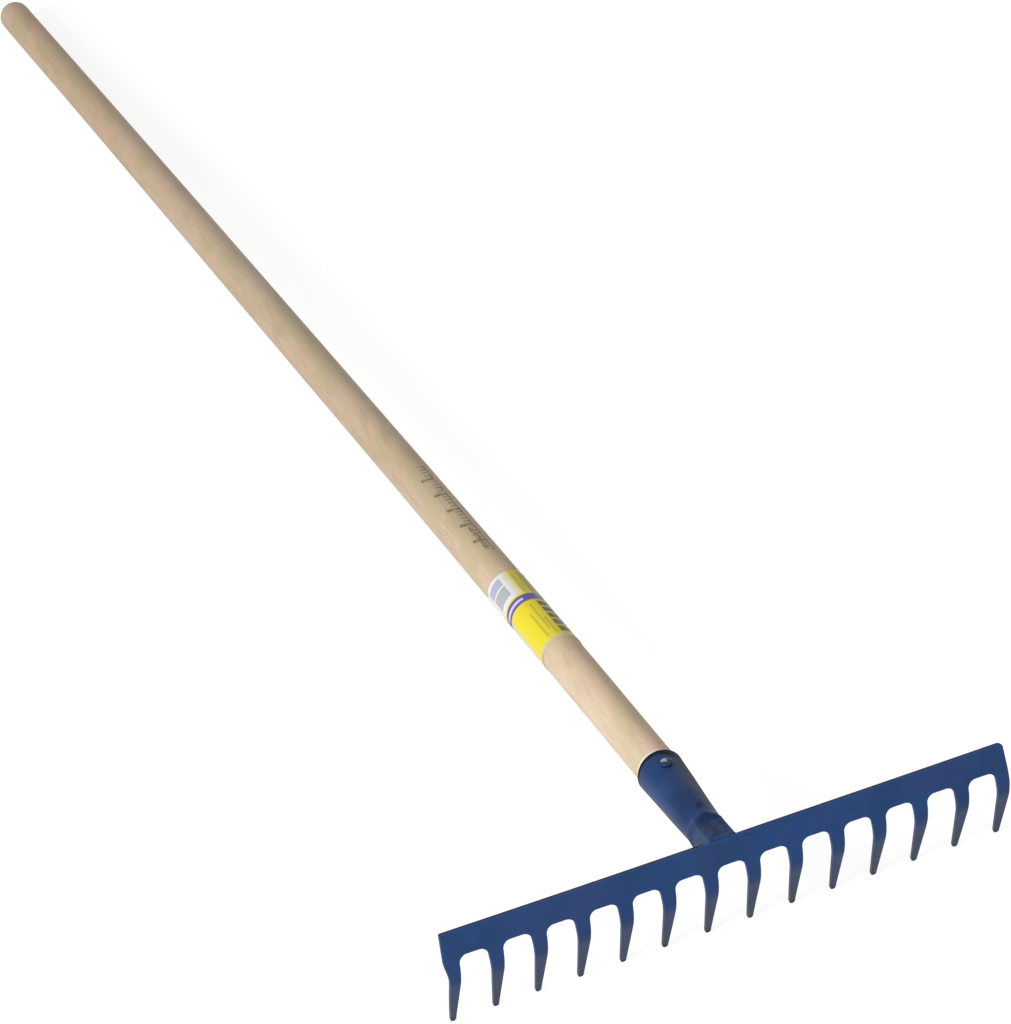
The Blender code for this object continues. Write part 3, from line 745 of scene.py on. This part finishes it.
SPATTER_SIDES = 12
SPATTER_RISE = (-12, 8, 28, 50, 72, 88)
SPATTER_FLATNESS = 0.66
SPATTER_ASKEW = (0.31, 0.2, 0.93)
NECK_TOP = NECK_HEIGHT + NECK_HALF_HEIGHT
FRONT = -SHEET / 2
UP, FORWARD, LEFT = (0, 0, 1), (0, -1, 0), (-1, 0, 0)
SPATTER = (
    (0.0062, 0.0055, NECK_TOP + 0.0003, *UP, 0.0012),
    (0.0015, 0.0075, NECK_TOP + 0.0006, *UP, 0.0008),
    (-0.0055, 0.0060, NECK_TOP + 0.0005, *UP, 0.0009),
    (0.0040, 0.0120, NECK_TOP + 0.0012, *UP, 0.0007),
    (-0.0020, 0.0150, NECK_TOP + 0.0016, *UP, 0.0006),
    (0.0120, FRONT, -0.0018, *FORWARD, 0.0009),
    (0.0150, FRONT, -0.0034, *FORWARD, 0.0007),
    (0.0068, FRONT, -0.0030, *FORWARD, 0.0008),
    (0.0185, FRONT, -0.0026, *FORWARD, 0.0006),
    (-0.0131, 0.0060, -0.0060, *LEFT, 0.0008),
)


def spatter(spots):
    """Low domes on the metal, from rows of (x, y, z, outward x, y, z, radius). Each is the upper
    half of a sphere squashed to two thirds along its outward direction."""
    spots = np.array(spots)
    out = spots[:, 3:6]
    first = np.cross(out, SPATTER_ASKEW)
    first /= np.linalg.norm(first, axis=1)[:, None]
    second = np.cross(out, first)
    up = np.radians(SPATTER_RISE)[:, None, None]
    turn = np.linspace(0, 2 * np.pi, SPATTER_SIDES, endpoint=False)[None, :, None]
    rings = len(SPATTER_RISE)
    count = rings * SPATTER_SIDES
    points, faces, caps = [], [], []
    for drop, (spot, a, b, n) in enumerate(zip(spots, first, second, out)):
        flat = np.cos(up) * (np.cos(turn) * a + np.sin(turn) * b)
        dome = spot[:3] + spot[6] * (flat + SPATTER_FLATNESS * np.sin(up) * n)
        points.append(dome.reshape(-1, 3))
        faces.append(grid_faces(rings, SPATTER_SIDES, ring=True) + count * drop)
        foot, top = count * drop, count * (drop + 1) - SPATTER_SIDES
        caps += [range(foot, foot + SPATTER_SIDES), range(top, top + SPATTER_SIDES)]
    return laid_down(np.concatenate(points)), np.concatenate(faces), None, caps


spatter_drops = mesh_piece("weld_spatter", *spatter(SPATTER))
spatter_drops.data.materials.append(weld_paint)
stand_for(spatter_drops, "painted_steel")


# The handle is a turned beech pole, sanded and thinly lacquered, 28 mm thick and slightly bowed.
# Its nose is shaved to fit the socket, its butt is domed, and a worn scale of plain marks is
# printed on it.

HANDLE_END = 1.5287
NOSE_FROM = 0.0315
NOSE_CLEARANCE = 0.0018
BUTT_DOME = 0.010
BUTT_FLAT_SHARE = 0.22
BUTT_ROUNDING = 0.75
BUTT_TURNS = np.radians((*np.linspace(0, 78, 14), 83, 86))
HIDDEN_STEP = 0.001
NOSE_RINGS = 14
POLE_RINGS = 420
POLE_COLUMNS = 72
BOW_SMOOTHED_OVER = np.arange(-0.04, 0.0401, 0.008)
SHAPE_AT = (RIM_AT, 0.150, 0.240, 0.380, 0.520, 0.750, 1.050, 1.300, 1.500)
SHAPE_RADIUS = (0.01360, 0.01372, 0.01395, 0.01402, 0.01382, 0.01366, 0.01340, 0.01308, 0.01290)
SHAPE_SIDEWAYS = (-0.0013, -0.0008, 0.0, 0.0007, 0.0010, 0.0009, 0.0007, 0.0004, -0.0004)
HANDLE_TILT = LAY_TILT + HANDLE_RISE
PITH = (0.052, 0.0, -0.034)
RING_WIDTH = 0.0026
RING_DRIFT_ACROSS = 0.03
RING_DRIFT_UP = 0.016
RING_STRETCH = (1, 0.012, 1)
SLANT = math.radians(9)

BEECH_PALE = (0.83, 0.665, 0.495)
BEECH_DARK = (0.66, 0.485, 0.33)
BEECH_PINK = (0.83, 0.575, 0.420)
BEECH_OLIVE = (0.68, 0.575, 0.355)
BEECH_FLECK = (0.40, 0.255, 0.155)
# partly handled wood, partly painted shade: the darker tone from the label on
BEECH_HANDLED_SHADE = (0.79, 0.77, 0.73)
# painted pale halo of light on the wood beside the rim
BEECH_PALE_HALO = (0.95, 0.91, 0.84)
PRINT_BROWN = (0.085, 0.052, 0.028)

# Patterns in the wood: cycles a metre, detail, the noise at which a patch begins and is full, and
# how much shorter the cycles are along the pole. Plain noise has no such limits.
RING_DRIFT = (9, 3.0, (1, 0.45, 1))
FIBRES = (2600, 2.0, (1, 0.02, 1))
SLOW_CHANGE = (26, 3.0, (1, 0.12, 1))
STREAKS = (700, 3.0, 0.30, 0.72, (1, 0.012, 1))
FLECKS = (1500, 1.0, 0.66, 0.76, (1, 0.09, 1))
VEINS = (190, 2.0, 0.64, 0.74, (1, 0.04, 1))
MOTTLING = (
    ((62, 4.0, 0.44, 0.58, (1, 0.30, 1)), BEECH_OLIVE, 0.75),
    ((118, 3.0, 0.50, 0.66, (1, 0.22, 1)), BEECH_PINK, 0.50),
    ((165, 3.0, 0.52, 0.70, (1, 0.16, 1)), BEECH_DARK, 0.55),
)
PINK_FROM = (0.42, 0.62)
HANDLED_SHADE_FROM = (-0.60, -0.16)
PALE_HALO = (RIM_AT - 0.001, RIM_AT + 0.0046, 0.0010)

# The printed scale: along the pole in metres from the bar, and round it in shares of a turn from
# its top, each from, to and how soft. A row of marks has its pitch in metres, the share of that
# which is printed, and its reach round the pole.
SCALE_SPAN = (0.396, 0.534, 0.0003)
SCALE_LINE = (0.056, 0.072, 0.003)
SCALE_BAR = ((0.399, 0.432, 0.001), (-0.002, 0.040, 0.004))
SCALE_ROWS = (
    (0.005, (0.30, 0.66, 0.05), (0.010, 0.062, 0.003)),
    (0.025, (0.40, 0.56, 0.01), (-0.045, 0.062, 0.003)),
)
WORN_INK = (420, 4.0, 0.34, 0.58)
PATCHY_INK = (60, 2.0, 0.30, 0.70)


def handle_shape(distance):
    """Radius and sideways lie of the wood at each distance, on smooth curves: the table's values,
    joined by straight lines and averaged over 80 mm."""
    near = np.asarray(distance)[..., None] + BOW_SMOOTHED_OVER
    radius = np.interp(near, SHAPE_AT, SHAPE_RADIUS).mean(axis=-1)
    return radius, np.interp(near, SHAPE_AT, SHAPE_SIDEWAYS).mean(axis=-1)


def handle_surface():
    """Rings of points along the pole. In the socket the ring is the socket's own section less the
    clearance; beyond the rim it is a circle about the bowed axis; on the dome its radius is the
    butt's times a flat share plus the rest times the three-quarter power of the cosine."""
    turn = np.linspace(0, 2 * np.pi, POLE_COLUMNS, endpoint=False)
    inside = np.linspace(NOSE_FROM, RIM_AT - HIDDEN_STEP, NOSE_RINGS)[:, None]
    nose = socket_surface(*np.broadcast_arrays(inside, turn))
    middle = nose.mean(axis=1, keepdims=True)
    to_rim = (inside - THROAT_AT) / (RIM_AT - THROAT_AT)
    bore = THROAT_RADIUS + to_rim * (RIM_RADIUS - THROAT_RADIUS)
    nose = middle + (nose - middle) * ((bore - NOSE_CLEARANCE) / bore)[..., None]
    dome_from = HANDLE_END - BUTT_DOME
    shaft = np.linspace(RIM_AT + HIDDEN_STEP, dome_from, POLE_RINGS, endpoint=False)
    distance = np.concatenate((shaft, dome_from + BUTT_DOME * np.sin(BUTT_TURNS)))
    radius, sideways = handle_shape(distance)
    dome = BUTT_FLAT_SHARE + (1 - BUTT_FLAT_SHARE) * np.cos(BUTT_TURNS) ** BUTT_ROUNDING
    radius[-len(dome) :] *= dome
    around = radius[:, None] * np.stack((np.sin(turn), np.cos(turn)))[:, None, :]
    up = around[1][..., None] * (0, -math.sin(HANDLE_RISE), math.cos(HANDLE_RISE))
    pole = axis_point(distance, sideways)[:, None, :] + around[0][..., None] * (1, 0, 0) + up
    rings = np.concatenate((nose, pole))
    along = np.concatenate((inside[:, 0], distance))
    faces = grid_faces(len(rings), POLE_COLUMNS, ring=True)
    row, column = np.divmod(np.arange(len(faces)), POLE_COLUMNS)
    u = np.stack((column, column + 1, column + 1, column), axis=1) / POLE_COLUMNS
    v = along[np.stack((row, row, row + 1, row + 1), axis=1)]
    count = len(rings) * POLE_COLUMNS
    caps = (range(POLE_COLUMNS), range(count - POLE_COLUMNS, count))
    return laid_down(rings.reshape(-1, 3)), faces, np.stack((u, v), axis=-1), caps


def beech():
    """Beech: growth rings round a pith that lies outside the pole, long fibre streaks, short dark
    ray flecks, and pink and olive mottling that runs slantwise. A painted pale halo lies beside
    the rim. From the label on the wood is darker, partly from handling and partly as painted shade
    where the light falls off towards the butt."""
    made, tree, shader, where = new_finish("beech")
    values = {"Vector": where, "Rotation": (-HANDLE_TILT, 0, 0)}
    turned = shader_node(tree, "Mapping", values).outputs[0]
    values = {"Vector": turned, "Rotation": (0, 0, SLANT)}
    slanted = shader_node(tree, "Mapping", values).outputs[0]
    drift = speckle(tree, turned, *RING_DRIFT)
    values = {0: times(tree, drift, RING_DRIFT_ACROSS), 2: times(tree, drift, RING_DRIFT_UP)}
    drift = shader_node(tree, "CombineXYZ", values).outputs[0]
    centred = reckon_vector(tree, "ADD", reckon_vector(tree, "ADD", turned, drift), PITH)
    flat = reckon_vector(tree, "MULTIPLY", centred, RING_STRETCH)
    from_pith = reckon_vector(tree, "LENGTH", flat)
    ring = reckon(tree, "FRACT", reckon(tree, "DIVIDE", from_pith, RING_WIDTH))
    late_wood = reckon(tree, "POWER", ring, 3.0)
    slow = speckle(tree, turned, *SLOW_CHANGE)
    colour = tint(tree, patches(tree, turned, *STREAKS), BEECH_PALE, BEECH_DARK)
    colour = tint(tree, 0.45, BEECH_PALE, colour)
    colour = coat(tree, colour, late_wood, BEECH_DARK, share=0.26)
    colour = coat(tree, colour, rise(tree, slow, *PINK_FROM), BEECH_PINK, share=0.60)
    for pattern, tone, share in MOTTLING:
        colour = coat(tree, colour, patches(tree, slanted, *pattern), tone, share)
    fleck = patches(tree, turned, *FLECKS)
    colour = coat(tree, colour, fleck, BEECH_FLECK, share=0.42)
    colour = coat(tree, colour, patches(tree, turned, *VEINS), BEECH_FLECK, share=0.14)
    # darker from the label on: partly handling, partly painted shade as the light falls off
    handled_shade = rise(tree, axes_of(tree, where)["Y"], *HANDLED_SHADE_FROM)
    colour = tint(tree, handled_shade, colour, BEECH_HANDLED_SHADE, mode="MULTIPLY")
    u, v, _ = axes_of(tree, shader_node(tree, "UVMap", uv_map="UVMap").outputs[0])
    # painted pale halo: a light ring on the wood just beside the rim
    colour = coat(tree, colour, stripe(tree, v, *PALE_HALO), BEECH_PALE_HALO, share=0.8)
    colour = tint(tree, scale_marks(tree, where, u, v), colour, PRINT_BROWN)
    tree.links.new(colour, shader.inputs["Base Color"])
    grain = times(tree, speckle(tree, turned, *FIBRES), 0.7)
    grain = plus(tree, grain, times(tree, fleck, -0.6))
    emboss(tree, shader, grain, strength=0.16, depth=0.0003)
    rough = evenly(tree, slow, between=(0.3, 0.7), to=(0.46, 0.60))
    tree.links.new(rough, shader.inputs["Roughness"])
    shader.inputs["Specular IOR Level"].default_value = 0.28
    return made


def scale_marks(tree, where, u, v):
    """A plain scale without figures, printed across the upper right of the pole between 396 and
    534 mm from the bar: a line every 5 mm, a longer one every 25 mm, one along them, and a bar at
    its head end. It reads the UV map, whose u is the share of a turn from the top and whose v is
    in metres."""
    u = reckon(tree, "SUBTRACT", reckon(tree, "FRACT", plus(tree, u, 0.5)), 0.5)
    marks = stripe(tree, u, *SCALE_LINE)
    for pitch, printed, reach in SCALE_ROWS:
        step = reckon(tree, "FRACT", reckon(tree, "DIVIDE", v, pitch))
        row = times(tree, stripe(tree, step, *printed), stripe(tree, u, *reach))
        marks = reckon(tree, "MAXIMUM", marks, row)
    along, across = SCALE_BAR
    bar = times(tree, stripe(tree, v, *along), stripe(tree, u, *across))
    marks = reckon(tree, "MAXIMUM", marks, bar)
    marks = times(tree, marks, stripe(tree, v, *SCALE_SPAN))
    ink = times(tree, patches(tree, where, *WORN_INK), 0.56)
    ink = plus(tree, ink, times(tree, patches(tree, where, *PATCHY_INK), 0.30))
    return times(tree, marks, ink)


handle = mesh_piece("beech_pole", *handle_surface())
handle.data.materials.append(beech())
stand_for(handle, "beech", "handle")


# A short nail is driven through the top of the socket into the wood, 14 mm from the rim. Its domed
# head took some of the socket's enamel, and has a painted highlight: bright bare steel in a ragged
# patch off the middle of its crown.

NAIL_AT = 0.0845
NAIL_HEAD = 0.0042
NAIL_CROWN = 0.0018
NAIL_SHANK = 0.0020
NAIL_LENGTH = 0.024
NAIL_SEAT = 0.0004
NAIL_POINT = 0.005
NAIL_POINT_RADIUS = 0.0004
NAIL_HEAD_EDGE = 0.0003
NAIL_DENT = 0.0005
NAIL_DENT_WAVES = (1500, 1300)
CROWN_FROM = 0.02
NAIL_SIDES = 40
CROWN_RINGS = 14

# painted highlight: the bright steel of a patch on the nail's crown, and where it lies
NAIL_HIGHLIGHT = (0.31, 0.33, 0.45)
NAIL_DARK = (0.012, 0.022, 0.060)
NAIL_HIGHLIGHT_AT = (-0.0010, 0.0014, 0.0016)
NAIL_HIGHLIGHT_REACH = (0.0023, 0.0032)
NAIL_RAGGED = (900, 3.0)
NAIL_WANDER = 0.0016
NAIL_SCRATCHES = (5000, 2.0, (1, 0.08, 1))


def nail_frame():
    """The point of the socket's skin under the nail's head, and the nail's axes there: across the
    socket, along it and outwards."""
    near, ahead = socket_surface(np.array((NAIL_AT, NAIL_AT + 0.01)), np.zeros(2))
    slope = (ahead - near) / np.linalg.norm(ahead - near)
    return near, np.stack(((1, 0, 0), slope, np.cross((1, 0, 0), slope)))


def turned_nail():
    """A profile of radius and height, turned about the nail's own axis: a crown that is part of an
    ellipse, a rounded rim, the shank and a chisel point. The crown has dents of the hammer: the
    product of two waves, times the distance from the rim."""
    crown = np.linspace(CROWN_FROM, np.pi / 2, CROWN_RINGS)
    shank = (NAIL_HEAD - NAIL_HEAD_EDGE / 2, NAIL_SHANK, NAIL_SHANK, NAIL_POINT_RADIUS)
    radius = np.concatenate((NAIL_HEAD * np.sin(crown), shank))
    dome = NAIL_SEAT + NAIL_HEAD_EDGE + (NAIL_CROWN - NAIL_HEAD_EDGE) * np.cos(crown)
    shank = (NAIL_SEAT, NAIL_SEAT, NAIL_POINT - NAIL_LENGTH, -NAIL_LENGTH)
    height = np.concatenate((dome, shank))
    turn = np.linspace(0, 2 * np.pi, NAIL_SIDES, endpoint=False)
    x = radius[:, None] * np.cos(turn)
    y = radius[:, None] * np.sin(turn)
    inner = np.clip(1 - radius / NAIL_HEAD, 0, 1)[:, None] * (height > NAIL_SEAT)[:, None]
    across, along = NAIL_DENT_WAVES
    waves = 1 + np.sin(across * x + 1) * np.cos(along * y)
    z = height[:, None] - NAIL_DENT * inner * waves
    near, axes = nail_frame()
    points = laid_down(near + np.stack((x, y, z), axis=-1).reshape(-1, 3) @ axes)
    caps = (range(NAIL_SIDES), range(len(points) - NAIL_SIDES, len(points)))
    return points, grid_faces(len(radius), NAIL_SIDES, ring=True), None, caps


def hammered_steel():
    """Dark enamel on steel, with a painted highlight of bright bare steel in a ragged patch."""
    made, tree, shader, where = new_finish("nail_steel")
    near, axes = nail_frame()
    place = tuple(laid_down(near + np.array(NAIL_HIGHLIGHT_AT) @ axes))
    ragged = times(tree, speckle(tree, where, *NAIL_RAGGED), NAIL_WANDER)
    edge = plus(tree, reckon_vector(tree, "DISTANCE", where, place), ragged)
    # painted highlight: bright metal within a ragged patch on the crown
    painted_highlight = inverse(tree, rise(tree, edge, *NAIL_HIGHLIGHT_REACH))
    tree.links.new(tint(tree, painted_highlight, NAIL_DARK, NAIL_HIGHLIGHT), shader.inputs["Base Color"])
    tree.links.new(painted_highlight, shader.inputs["Metallic"])
    emboss(tree, shader, speckle(tree, where, *NAIL_SCRATCHES), strength=0.15, depth=0.0001)
    shader.inputs["Roughness"].default_value = 0.34
    shader.inputs["Specular IOR Level"].default_value = 0.3
    return made


nail = mesh_piece("domed_nail", *turned_nail(), sharp=50)
nail.data.materials.append(hammered_steel())
stand_for(nail, "bright_steel", "handle_nail")


# The label is a printed film, 100 mm long, wrapped once round the pole with its overlap
# underneath. It carries plain fields of colour: yellow, a white panel with a grey block, a violet
# band, thin rules and a row of dark blocks.

LABEL_FROM = 0.263
LABEL_TO = 0.363
FILM_LIFT = 0.00012
FILM_THICKNESS = 0.00016
OVERLAP = 0.12
OVERLAP_FROM = 0.965
OVERLAP_STEP = 0.02
FILM_CURL = 0.00012
CURL_OVER = 0.003
CURL_WAVES = 5
FILM_BUBBLE = 0.00004
BUBBLE_WAVES = ((9, 260), (3, -140))
FILM_ROWS = 81
FILM_COLUMNS = 181

FILM_YELLOW = (0.90, 0.765, 0.012)
FILM_PALE = (0.80, 0.72, 0.30)
FILM_WHITE = (0.84, 0.84, 0.85)
FILM_GREY = (0.47, 0.50, 0.50)
FILM_LAVENDER = (0.50, 0.48, 0.66)
FILM_CLEAR = (0.72, 0.60, 0.37)
FILM_VIOLET = (0.13, 0.09, 0.36)
FILM_OLIVE = (0.42, 0.36, 0.06)
FILM_DARK = (0.045, 0.030, 0.014)
FILM_FADED = (0.27, 0.25, 0.36)
FILM_OCHRE = (0.82, 0.68, 0.05)
FILM_CREAM = (0.85, 0.80, 0.52)
FILM_LILAC = (0.72, 0.70, 0.86)

# What is printed on the film, in this order. Each field has its left and right as shares of the
# way round from the seam underneath, its head end and butt end as shares of the length, how soft
# its edges are, what breaks it up, its colour and its share.
RULES = ((0.515, 0.70, 0.97), (0.43, 0.06, 0.40), (0.475, 0.14, 0.50), (0.50, 0.05, 0.30))
BLOCKS = ((0.075, 0.155), (0.175, 0.255), (0.275, 0.345), (0.365, 0.435), (0.455, 0.525))
FIELDS = (
    (0.0, 0.262, 0.0, 0.60, 0.010, "whole", FILM_PALE, 1.0),
    (0.20, 0.475, 0.665, 1.01, 0.004, "whole", FILM_WHITE, 1.0),
    (0.27, 0.425, 0.715, 0.845, 0.004, "whole", FILM_GREY, 1.0),
    (0.27, 0.425, 0.865, 0.955, 0.004, "whole", FILM_LAVENDER, 1.0),
    (0.455, 0.50, 0.665, 1.01, 0.012, "whole", FILM_CREAM, 1.0),
    (0.505, 0.66, 0.665, 0.975, 0.010, "streaks", FILM_OLIVE, 0.55),
    (0.26, 1.01, -0.01, 0.040, 0.016, "whole", FILM_CLEAR, 1.0),
    (-0.01, 1.01, 0.555, 0.645, 0.004, "whole", FILM_VIOLET, 1.0),
    (0.565, 0.80, 0.555, 0.66, 0.018, "whole", FILM_FADED, 1.0),
    (0.25, 0.47, 0.585, 0.612, 0.004, "whole", FILM_LILAC, 1.0),
    *((left, left + 0.014, *ends, 0.004, "whole", FILM_OLIVE, 0.6) for left, *ends in RULES),
    (0.57, 0.64, 0.68, 0.98, 0.010, "whole", FILM_OLIVE, 1.0),
    *((0.544, 0.636, *ends, 0.007, "ink", FILM_DARK, 0.94) for ends in BLOCKS),
)
PRINT_WEAR = (800, 3.0, 0.25, 0.60)
INK_GAPS = (0.02, 0.35)
STREAKS_ROUND = 90.0
STREAKS_ALONG = 7.0
STREAK_FROM = (0.38, 0.62)
FILM_RIPPLE = (180, 2.0)


def label_film():
    """A sheet a little more than one turn long. Its radius is the wood's plus the lift, plus small
    bubbles, plus one thickness more over the last part, where it lies on its own start. Its ends
    lift by the cube of the last few millimetres."""
    share = np.linspace(0, 1, FILM_COLUMNS)[None, :]
    turn = np.pi - OVERLAP / 2 + share * (2 * np.pi + OVERLAP)
    distance = np.linspace(LABEL_FROM, LABEL_TO, FILM_ROWS)[:, None]
    radius, sideways = handle_shape(distance[:, 0])
    lap = np.clip((share - OVERLAP_FROM) / OVERLAP_STEP, 0, 1)
    edge = np.minimum(distance - LABEL_FROM, LABEL_TO - distance)
    waving = 1 + np.sin(CURL_WAVES * turn + 2)
    curl = FILM_CURL * np.clip(1 - edge / CURL_OVER, 0, 1) ** 3 * waving / 2
    (left, leaning), (right, falling) = BUBBLE_WAVES
    bubble = np.sin(left * turn + leaning * distance)
    bubble = bubble * np.sin(right * turn + falling * distance + 1)
    out = radius[:, None] + FILM_LIFT + FILM_THICKNESS * lap + curl + FILM_BUBBLE * bubble
    up = (out * np.cos(turn))[..., None] * (0, -math.sin(HANDLE_RISE), math.cos(HANDLE_RISE))
    across = (out * np.sin(turn))[..., None] * (1, 0, 0)
    film = axis_point(distance[:, 0], sideways)[:, None, :] + across + up
    faces = grid_faces(FILM_ROWS, FILM_COLUMNS)
    along = (distance - LABEL_FROM) / (LABEL_TO - LABEL_FROM)
    uv = np.stack(np.broadcast_arrays(share, along), axis=-1).reshape(-1, 2)
    return laid_down(film.reshape(-1, 3)), faces, uv[faces]


def printed_film():
    """Fields of colour on the film's own UV map. Its u goes once round from the seam underneath,
    so that the top is at one half, and its v from the head end to the butt end."""
    made, tree, shader, where = new_finish("label_film")
    u, v, _ = axes_of(tree, shader_node(tree, "UVMap", uv_map="UVMap").outputs[0])
    wear = patches(tree, where, *PRINT_WEAR)
    colour = coat(tree, FILM_YELLOW, wear, FILM_OCHRE, share=0.35)
    values = {0: times(tree, u, STREAKS_ROUND), 1: times(tree, v, STREAKS_ALONG)}
    along = shader_node(tree, "CombineXYZ", values).outputs[0]
    values = {"Vector": along, "Scale": 1.0, "Detail": 2.0}
    streaks = shader_node(tree, "TexNoise", values).outputs["Fac"]
    broken = {
        "whole": 1.0,
        "streaks": rise(tree, streaks, *STREAK_FROM),
        "ink": rise(tree, wear, *INK_GAPS),
    }
    for left, right, low, high, soft, breaking, tone, share in FIELDS:
        field = times(tree, stripe(tree, u, left, right, soft), stripe(tree, v, low, high, soft))
        colour = coat(tree, colour, times(tree, field, broken[breaking]), tone, share)
    tree.links.new(colour, shader.inputs["Base Color"])
    emboss(tree, shader, speckle(tree, where, *FILM_RIPPLE), strength=0.10, depth=0.0005)
    shader.inputs["Roughness"].default_value = 0.34
    shader.inputs["Specular IOR Level"].default_value = 0.2
    return made


label = mesh_piece("label_wrap", *label_film())
paper = label.modifiers.new("film", "SOLIDIFY")
paper.thickness = FILM_THICKNESS
paper.offset = 1
label.data.materials.append(printed_film())
stand_for(label, "label_print", "label")


# The studio: a wide pale floor under the rake, an even pale surround, a large soft lamp low on
# the left and a weaker one in front, and a long lens from above the rake's left.

FLOOR_SIZE = 14.0
FLOOR_COLOUR = (0.42, 0.42, 0.42)
FLOOR_TOOTH = (30, 3.0)
FLOOR_TOOTH_DEPTH = 0.985
FLOOR_LIFT = (0.80, 0.87)
FLOOR_LIFT_FROM = (1.2, 3.5)
SURROUND = 0.31
WHITE = (1, 1, 1, 1)
CAMERA_PLACE = (-0.838154, -3.051588, 1.812093)
CAMERA_TURN = (1.018539, 0.123696, -0.384308)
FOCAL_PIXELS = 4911.6
LONG_SIDE = 1024
SENSOR = 36.0
CLIP_END = 100


def seen_directly(tree):
    """1 for what the camera, a reflection or a refraction sees, 0 for light that only bounces."""
    path = shader_node(tree, "LightPath").outputs
    seen = reckon(tree, "MAXIMUM", path["Is Camera Ray"], path["Is Glossy Ray"])
    return reckon(tree, "MAXIMUM", seen, path["Is Transmission Ray"])


def floor_paper():
    """Pale matt paper. Where it is seen it is lifted a little, so that it reads as white and still
    takes the rake's shadow."""
    made, tree, shader, where = new_finish("floor_paper")
    tree.nodes.remove(shader)
    darker = tuple(FLOOR_TOOTH_DEPTH * part for part in FLOOR_COLOUR)
    colour = tint(tree, speckle(tree, where, *FLOOR_TOOTH), FLOOR_COLOUR, darker)
    matt = shader_node(tree, "BsdfDiffuse", {"Color": colour}).outputs[0]
    away = reckon_vector(tree, "LENGTH", where)
    lifted = evenly(tree, away, between=FLOOR_LIFT_FROM, to=FLOOR_LIFT)
    values = {"Strength": times(tree, seen_directly(tree), lifted)}
    lift = shader_node(tree, "Emission", values).outputs[0]
    both = shader_node(tree, "AddShader", {0: matt, 1: lift}).outputs[0]
    tree.links.new(both, tree.nodes["Material Output"].inputs["Surface"])
    return made


half = FLOOR_SIZE / 2
corners = np.array([(-half, -half, 0), (half, -half, 0), (half, half, 0), (-half, half, 0)])
floor = mesh_piece("floor", corners, np.array([(0, 1, 2, 3)]))
floor.data.materials.append(floor_paper())

world = bpy.data.worlds.new("surround")
world.use_nodes = True
bpy.context.scene.world = world
air = world.node_tree
lighting, backdrop = (
    shader_node(air, "Background", {"Color": WHITE, "Strength": strength}).outputs[0]
    for strength in (SURROUND, 1.0)
)
either = shader_node(air, "MixShader", {0: seen_directly(air), 1: lighting, 2: backdrop})
air.links.new(either.outputs[0], air.nodes["World Output"].inputs["Surface"])


def soft_lamp(name, place, target, size, watts):
    data = bpy.data.lights.new(name, "AREA")
    data.shape = "SQUARE"
    data.size = size
    data.energy = watts
    lamp = bpy.data.objects.new(name, data)
    bpy.context.scene.collection.objects.link(lamp)
    direction = Vector(target) - Vector(place)
    lamp.location = place
    lamp.rotation_euler = direction.to_track_quat("-Z", "Y").to_euler()


soft_lamp("lamp_left", place=(-3.35, -1.9, 1.8), target=(0, -0.2, 0), size=2.2, watts=143)
soft_lamp("lamp_front", place=(0.6, -4.2, 1.6), target=(0, -0.5, 0), size=1.8, watts=18)

lens = bpy.data.cameras.new("camera")
lens.sensor_width = SENSOR
lens.lens = FOCAL_PIXELS * SENSOR / LONG_SIDE
lens.clip_end = CLIP_END
camera = bpy.data.objects.new("camera", lens)
bpy.context.scene.collection.objects.link(camera)
camera.location = CAMERA_PLACE
camera.rotation_euler = CAMERA_TURN
bpy.context.scene.camera = camera
bpy.context.scene.view_settings.view_transform = "Standard"
